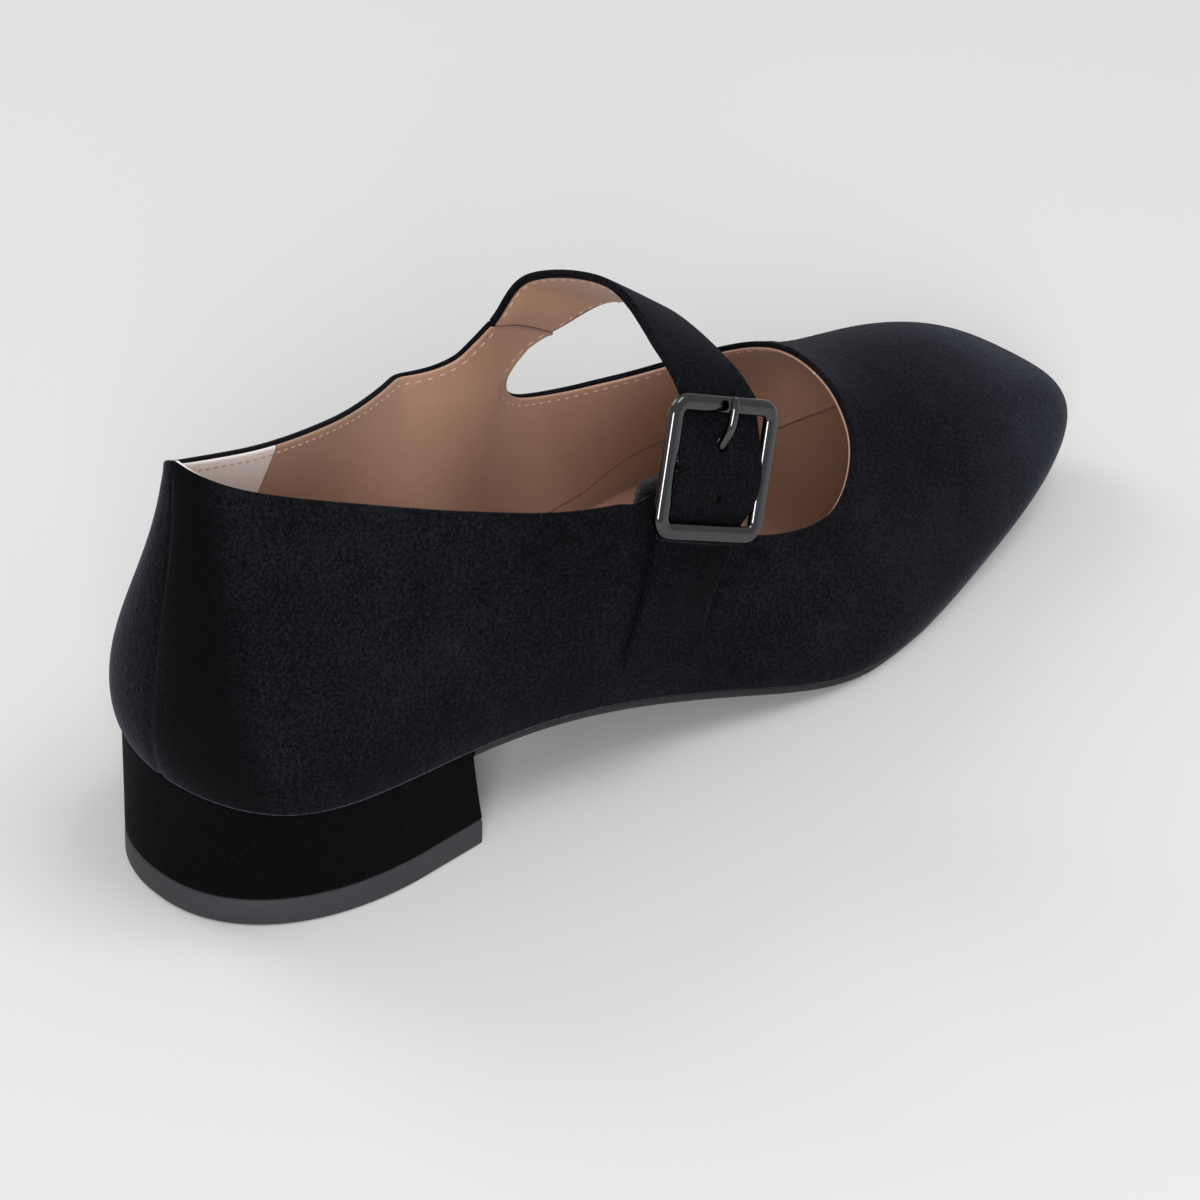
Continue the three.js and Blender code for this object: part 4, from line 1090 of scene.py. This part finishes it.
def strap():
    e = np.array([-1, -0.995, -0.98, -0.955, -0.92, -0.84, -0.68, -0.5, -0.25])
    xs = np.concatenate([e, [0], -e[::-1]])
    g, n = band_grid(strap_sections(), xs, 5)
    h = STRAP_T / 2
    edge = np.minimum(1, np.sqrt(np.maximum(0, 1 - ((np.abs(xs) - 0.93) / 0.07).clip(0, 1) ** 2)))
    hi = h * (0.12 + 0.88 * edge) + 0.10 * (1 - xs**2)
    lo = -h * (0.12 + 0.88 * edge) + 0.22 * edge
    R = len(g)
    ob = closed_band("strap_velvet", g, n, xs, hi, lo, VELVET_STRAP_SHADED, slot="velvet", replaces="strap")
    # lining: a thin sheet that stops short of the edges
    xl = np.linspace(-0.9, 0.9, 13)
    gl, nl = band_grid(strap_sections(), xl, 5)
    lip = np.array([0.12] + [0.0] * 11 + [0.12])
    gl, nl = gl[:-2], nl[:-2]
    under = closed_band("strap_lining", gl, nl, xl, np.full(13, -h + 0.3), -h - 0.06 + lip, SOCK, slot="lining")
    # holes for the prong
    def hole(v, r):
        path = [at_buckle(0, v + (0.9 if v > 0 else 0.0) * (q - 0.5), -3.2 + 6.4 * q) for q in (0, 1)]
        pts, k = [], 20
        for c in path:
            for i in range(k):
                a = 2 * math.pi * i / k
                pts.append(c + across * r * math.cos(a) - down * r * (1.25 if v > 0 else 1.0) * math.sin(a))
        faces = [(i, (i + 1) % k, k + (i + 1) % k, k + i) for i in range(k)] + [tuple(reversed(range(k))), tuple(range(k, 2 * k))]
        return np.array(pts), faces
    for v, r in ((4.6, 1.35), (-5.6, 1.05)):
        cut(ob, *hole(v, r))
        cut(under, *hole(v, r * 1.5))
    tube("hole_shade", [at_buckle(0, -5.6, n) for n in (-0.75, -0.4, 0.0, 0.45)], 1.12, HOLE, "velvet", 18)
    for o in (ob, under):
        o.data.set_sharp_from_angle(angle=math.radians(60))
    # stitches along both edges of the lining
    places = []
    for x in (-0.845, 0.845):
        gs, ns = band_grid(strap_sections(), np.array([x - 0.02, x, x + 0.02]), 5)
        places += along_curve(gs[3:-3, 1] - ns[3:-3, 1] * (h + 0.04), -ns[3:-3, 1], 2.6)
    capsules("strap_stitches", places, 1.7, 0.26, THREAD)
    return ob


def elastic():
    inner_off = -(WALL + 0.3 + ELASTIC_T / 2 + 0.15)
    free = lambda a, v, n, steps: ("free", at_buckle(a, v, n), across, ELASTIC_W, steps)
    sections = ([("on", r, f, inner_off, 3) for r, f in ELASTIC]
                + [("free", tuple(np.array(c) + unit(a) * 2.6), a, ELASTIC_W - 5.2, 3) for c, a in ELASTIC_OVER]
                + [free(0, -(CENTRE_BAR_R + 0.9), CENTRE_BAR_N - 1.1, 0)])
    e = np.array([-1, -0.99, -0.965, -0.9, -0.6, -0.3])
    xs = np.concatenate([e, [0], -e[::-1]])
    g, n = band_grid(sections, xs, 18)
    s = np.concatenate([[0], np.cumsum(np.linalg.norm(np.diff(g[:, 6], axis=0), axis=1))])
    rib = 0.13 * np.sin(2 * math.pi * s / 1.15)
    edge = np.array([0.25, 0.6, 0.9, 1, 1, 1, 1, 1, 1, 1, 0.9, 0.6, 0.25])
    h = ELASTIC_T / 2
    top = g + n * (edge * (h - 0.1))[None, :, None] + n * rib[:, None, None] * edge[None, :, None]
    low = g - n * (edge * (h - 0.1))[None, :, None] + n * rib[:, None, None] * edge[None, :, None]
    ring = np.concatenate([top, low[:, ::-1]], axis=1)
    k = ring.shape[1]
    faces = grid_faces(len(g), k, True) + [tuple(reversed(range(k))), tuple(range((len(g) - 1) * k, len(g) * k))]
    ob = make("elastic_gusset", ring.reshape(-1, 3), faces, ELASTIC_MAT, slot="elastic", replaces="elastic", sharp=70)
    bm = bmesh.new()
    bm.from_mesh(ob.data)
    bmesh.ops.recalc_face_normals(bm, faces=bm.faces)
    bm.to_mesh(ob.data)
    bm.free()
    return ob


# ------------------------------------------------------------------ buckle
def buckle():
    bar, t = BUCKLE_BAR / 2, BUCKLE_T / 2
    hw, hh, r = BUCKLE_W / 2 - bar, BUCKLE_H / 2 - bar, BUCKLE_R - bar
    section = []
    for k in range(24):
        g = 2 * math.pi * k / 24
        c, s = math.cos(g), math.sin(g)
        section.append((bar * math.copysign(abs(c) ** 0.82, c), t * math.copysign(abs(s) ** 0.85, s)))
    ring, arc_n = [], 10
    path = []
    for sx, sy, q in ((1, 1, 0), (-1, 1, 1), (-1, -1, 2), (1, -1, 3)):
        for k in range(arc_n + 1):
            g = (q + k / arc_n) * math.pi / 2
            path.append((sx * (hw - r), sy * (hh - r), math.cos(g), math.sin(g)))
    dense = []
    for i, p in enumerate(path):
        q = path[(i + 1) % len(path)]
        dense.append(p)
        if (i + 1) % (arc_n + 1) == 0:
            for s in (0.04, 0.25, 0.5, 0.75, 0.96):
                dense.append(tuple(a + (b - a) * s for a, b in zip(p, q)))
    pts = []
    for cx, cy, ox, oy in dense:
        for d, n in section:
            pts.append(at_buckle(cx + ox * (r + d), cy + oy * (r + d), n))
    m, k = len(dense), len(section)
    faces = [(i * k + j, ((i + 1) % m) * k + j, ((i + 1) % m) * k + (j + 1) % k, i * k + (j + 1) % k) for i in range(m) for j in range(k)]
    # centre bar
    half = BUCKLE_W / 2 - bar
    xs = [-half, -half + 0.5, -half + 1.2, -half + 2.2, 0, half - 2.2, half - 1.2, half - 0.5, half]
    ns = [-0.2, -0.55, -0.95, CENTRE_BAR_N, CENTRE_BAR_N, CENTRE_BAR_N, -0.95, -0.55, -0.2]
    start, sides_n = len(pts), 16
    for x, n in zip(xs, ns):
        for j in range(sides_n):
            g = 2 * math.pi * j / sides_n
            pts.append(at_buckle(x, CENTRE_BAR_R * 0.95 * math.cos(g), n + CENTRE_BAR_R * 0.95 * math.sin(g)))
    for i in range(len(xs) - 1):
        for j in range(sides_n):
            l = (j + 1) % sides_n
            faces.append((start + i * sides_n + j, start + (i + 1) * sides_n + j, start + (i + 1) * sides_n + l, start + i * sides_n + l))
    ob = make("buckle_ring", np.array(pts), faces, METAL, slot="gunmetal", replaces="buckle_frame")
    # prong, with the loop that holds it on the centre bar
    P = [np.array([0, v, n], float) for v, n in PRONG]
    R = list(PRONG_R)
    dense, rad = [], []
    for i in range(len(P) - 1):
        a = P[i - 1] if i else 2 * P[0] - P[1]
        d = P[i + 2] if i + 2 < len(P) else 2 * P[-1] - P[-2]
        for s in range(6):
            dense.append(between(a, P[i], P[i + 1], d, s / 6))
            rad.append(R[i] + (R[i + 1] - R[i]) * s / 6)
    dense.append(P[-1])
    rad.append(R[-1])
    tip = dense[-1] - dense[-2]
    tip = tip / np.linalg.norm(tip)
    for q in (0.2, 0.35, 0.45):
        dense.append(P[-1] + tip * q)
        rad.append(R[-1] * math.sqrt(max(0.02, 1 - (q / 0.46) ** 2)))
    pts, faces, k = [], [], 16
    for i, (c, rr) in enumerate(zip(dense, rad)):
        tang = dense[min(i + 1, len(dense) - 1)] - dense[max(i - 1, 0)]
        tang = tang / np.linalg.norm(tang)
        side = np.array([1.0, 0, 0])
        up = np.cross(side, tang)
        for j in range(k):
            g = 2 * math.pi * j / k
            q = c + side * rr * math.cos(g) + up * rr * 0.92 * math.sin(g)
            pts.append(at_buckle(q[0], q[1], q[2]))
    for i in range(len(dense) - 1):
        for j in range(k):
            l = (j + 1) % k
            faces.append((i * k + j, (i + 1) * k + j, (i + 1) * k + l, i * k + l))
    faces.append(tuple(range(k)))
    faces.append(tuple(reversed(range((len(dense) - 1) * k, len(dense) * k))))
    start = len(pts)
    # sleeve of the prong round the bar
    for x, rr in ((-1.3, 1.15), (-1.2, 1.3), (1.2, 1.3), (1.3, 1.15)):
        for j in range(24):
            g = 2 * math.pi * j / 24
            pts.append(at_buckle(x, rr * math.cos(g), CENTRE_BAR_N + rr * math.sin(g)))
    for i in range(3):
        for j in range(24):
            l = (j + 1) % 24
            faces.append((start + i * 24 + j, start + (i + 1) * 24 + j, start + (i + 1) * 24 + l, start + i * 24 + l))
    pr = make("buckle_pin", np.array(pts), faces, METAL, slot="gunmetal", replaces="buckle_prong")
    for o in (ob, pr):
        bm = bmesh.new()
        bm.from_mesh(o.data)
        bmesh.ops.recalc_face_normals(bm, faces=bm.faces)
        bm.to_mesh(o.data)
        bm.free()
    return ob


upper_velvet()
lining()
topline_stitches()
inner_seams()
insole()
outsole()
heel()
top_piece()
strap()
elastic()
buckle()

# ------------------------------------------------------------------ stage
floor_mat, floor_nt, floor_bsdf = new_material("floor")
floor_bsdf.inputs["Base Color"].default_value = (0.69, 0.69, 0.69, 1)
floor_bsdf.inputs["Roughness"].default_value = 0.9
floor_bsdf.inputs["Specular IOR Level"].default_value = 0.1
me = bpy.data.meshes.new("floor")
s = 6.0
me.from_pydata([(-s, -s, 0), (s, -s, 0), (s, s, 0), (-s, s, 0)], [], [(0, 1, 2, 3)])
floor = bpy.data.objects.new("floor", me)
floor.data.materials.append(floor_mat)
bpy.context.scene.collection.objects.link(floor)


def area(name, place, aim, size, power, colour=(1, 1, 1)):
    light = bpy.data.lights.new(name, "AREA")
    light.shape, light.size, light.energy, light.color = "SQUARE", size, power, colour
    ob = bpy.data.objects.new(name, light)
    ob.location = place
    ob.rotation_euler = (Vector(aim) - Vector(place)).to_track_quat("-Z", "Y").to_euler()
    bpy.context.scene.collection.objects.link(ob)


area("key", (0.35, -0.55, 1.75), (0, 0, 0.03), 1.0, 12.0)
area("back", (-0.25, 1.5, 1.2), (0, 0, 0.03), 0.9, 9.0)
area("side", (-1.02, -0.99, 0.62), (0.0, 0, 0.05), 0.5, 15.0)

world = bpy.data.worlds.new("studio")
world.use_nodes = True
world.node_tree.nodes["Background"].inputs[0].default_value = (1, 1, 1, 1)
world.node_tree.nodes["Background"].inputs[1].default_value = 0.5
bpy.context.scene.world = world
bpy.context.scene.view_settings.view_transform = "Standard"

# ------------------------------------------------------------------ camera: the photograph's place, turned to the one shoe
az, el, roll = math.radians(-39.13), math.radians(24.50), math.radians(0.12)
PHOTO_F = 1898.19  # pixels in a 1200 pixel frame
PLACE = np.array([-318.28, -426.78, 415.23])
right = np.array([math.cos(az), math.sin(az), 0.0])
backward = np.array([math.sin(az) * math.cos(el), -math.cos(az) * math.cos(el), math.sin(el)])
up = np.cross(backward, right)
R0 = math.cos(roll) * right + math.sin(roll) * up
U0 = -math.sin(roll) * right + math.cos(roll) * up


def photo_px(p):
    d = np.asarray(p, float) - PLACE
    z = -(d @ backward)
    return np.array([600 + PHOTO_F * (d @ R0) / z, 600 - PHOTO_F * (d @ U0) / z])


AIM_PX = (771.0, 899.0)
ZOOM = 1.86
forward = unit(R0 * (AIM_PX[0] - 600) / PHOTO_F - U0 * (AIM_PX[1] - 600) / PHOTO_F - backward)
centre = PLACE + forward * 650
q0, q1 = photo_px(centre), photo_px(centre + np.array([0, 0, 5.0]))
dx, dy = q1[0] - q0[0], q0[1] - q1[1]
alpha = math.atan2(dx, dy)
B1 = -forward
U1 = unit(np.array([0, 0, 1.0]) - B1 * B1[2])
R1 = np.cross(U1, B1)
Rn = math.cos(alpha) * R1 + math.sin(alpha) * U1
Un = -math.sin(alpha) * R1 + math.cos(alpha) * U1
cam_data = bpy.data.cameras.new("camera")
cam_data.sensor_fit = "HORIZONTAL"
cam_data.sensor_width = 36.0
theta = math.acos(float(forward @ -backward))
cam_data.lens = 36.0 * PHOTO_F * ZOOM / 1200.0 / math.cos(theta) ** 1.5
cam_data.clip_start = 0.01
camera = bpy.data.objects.new("camera", cam_data)
bpy.context.scene.collection.objects.link(camera)
place = to_part(PLACE)
camera.matrix_world = Matrix(((Rn[0], Un[0], B1[0], place[0]), (Rn[1], Un[1], B1[1], place[1]), (Rn[2], Un[2], B1[2], place[2]), (0, 0, 0, 1)))
bpy.context.scene.camera = camera
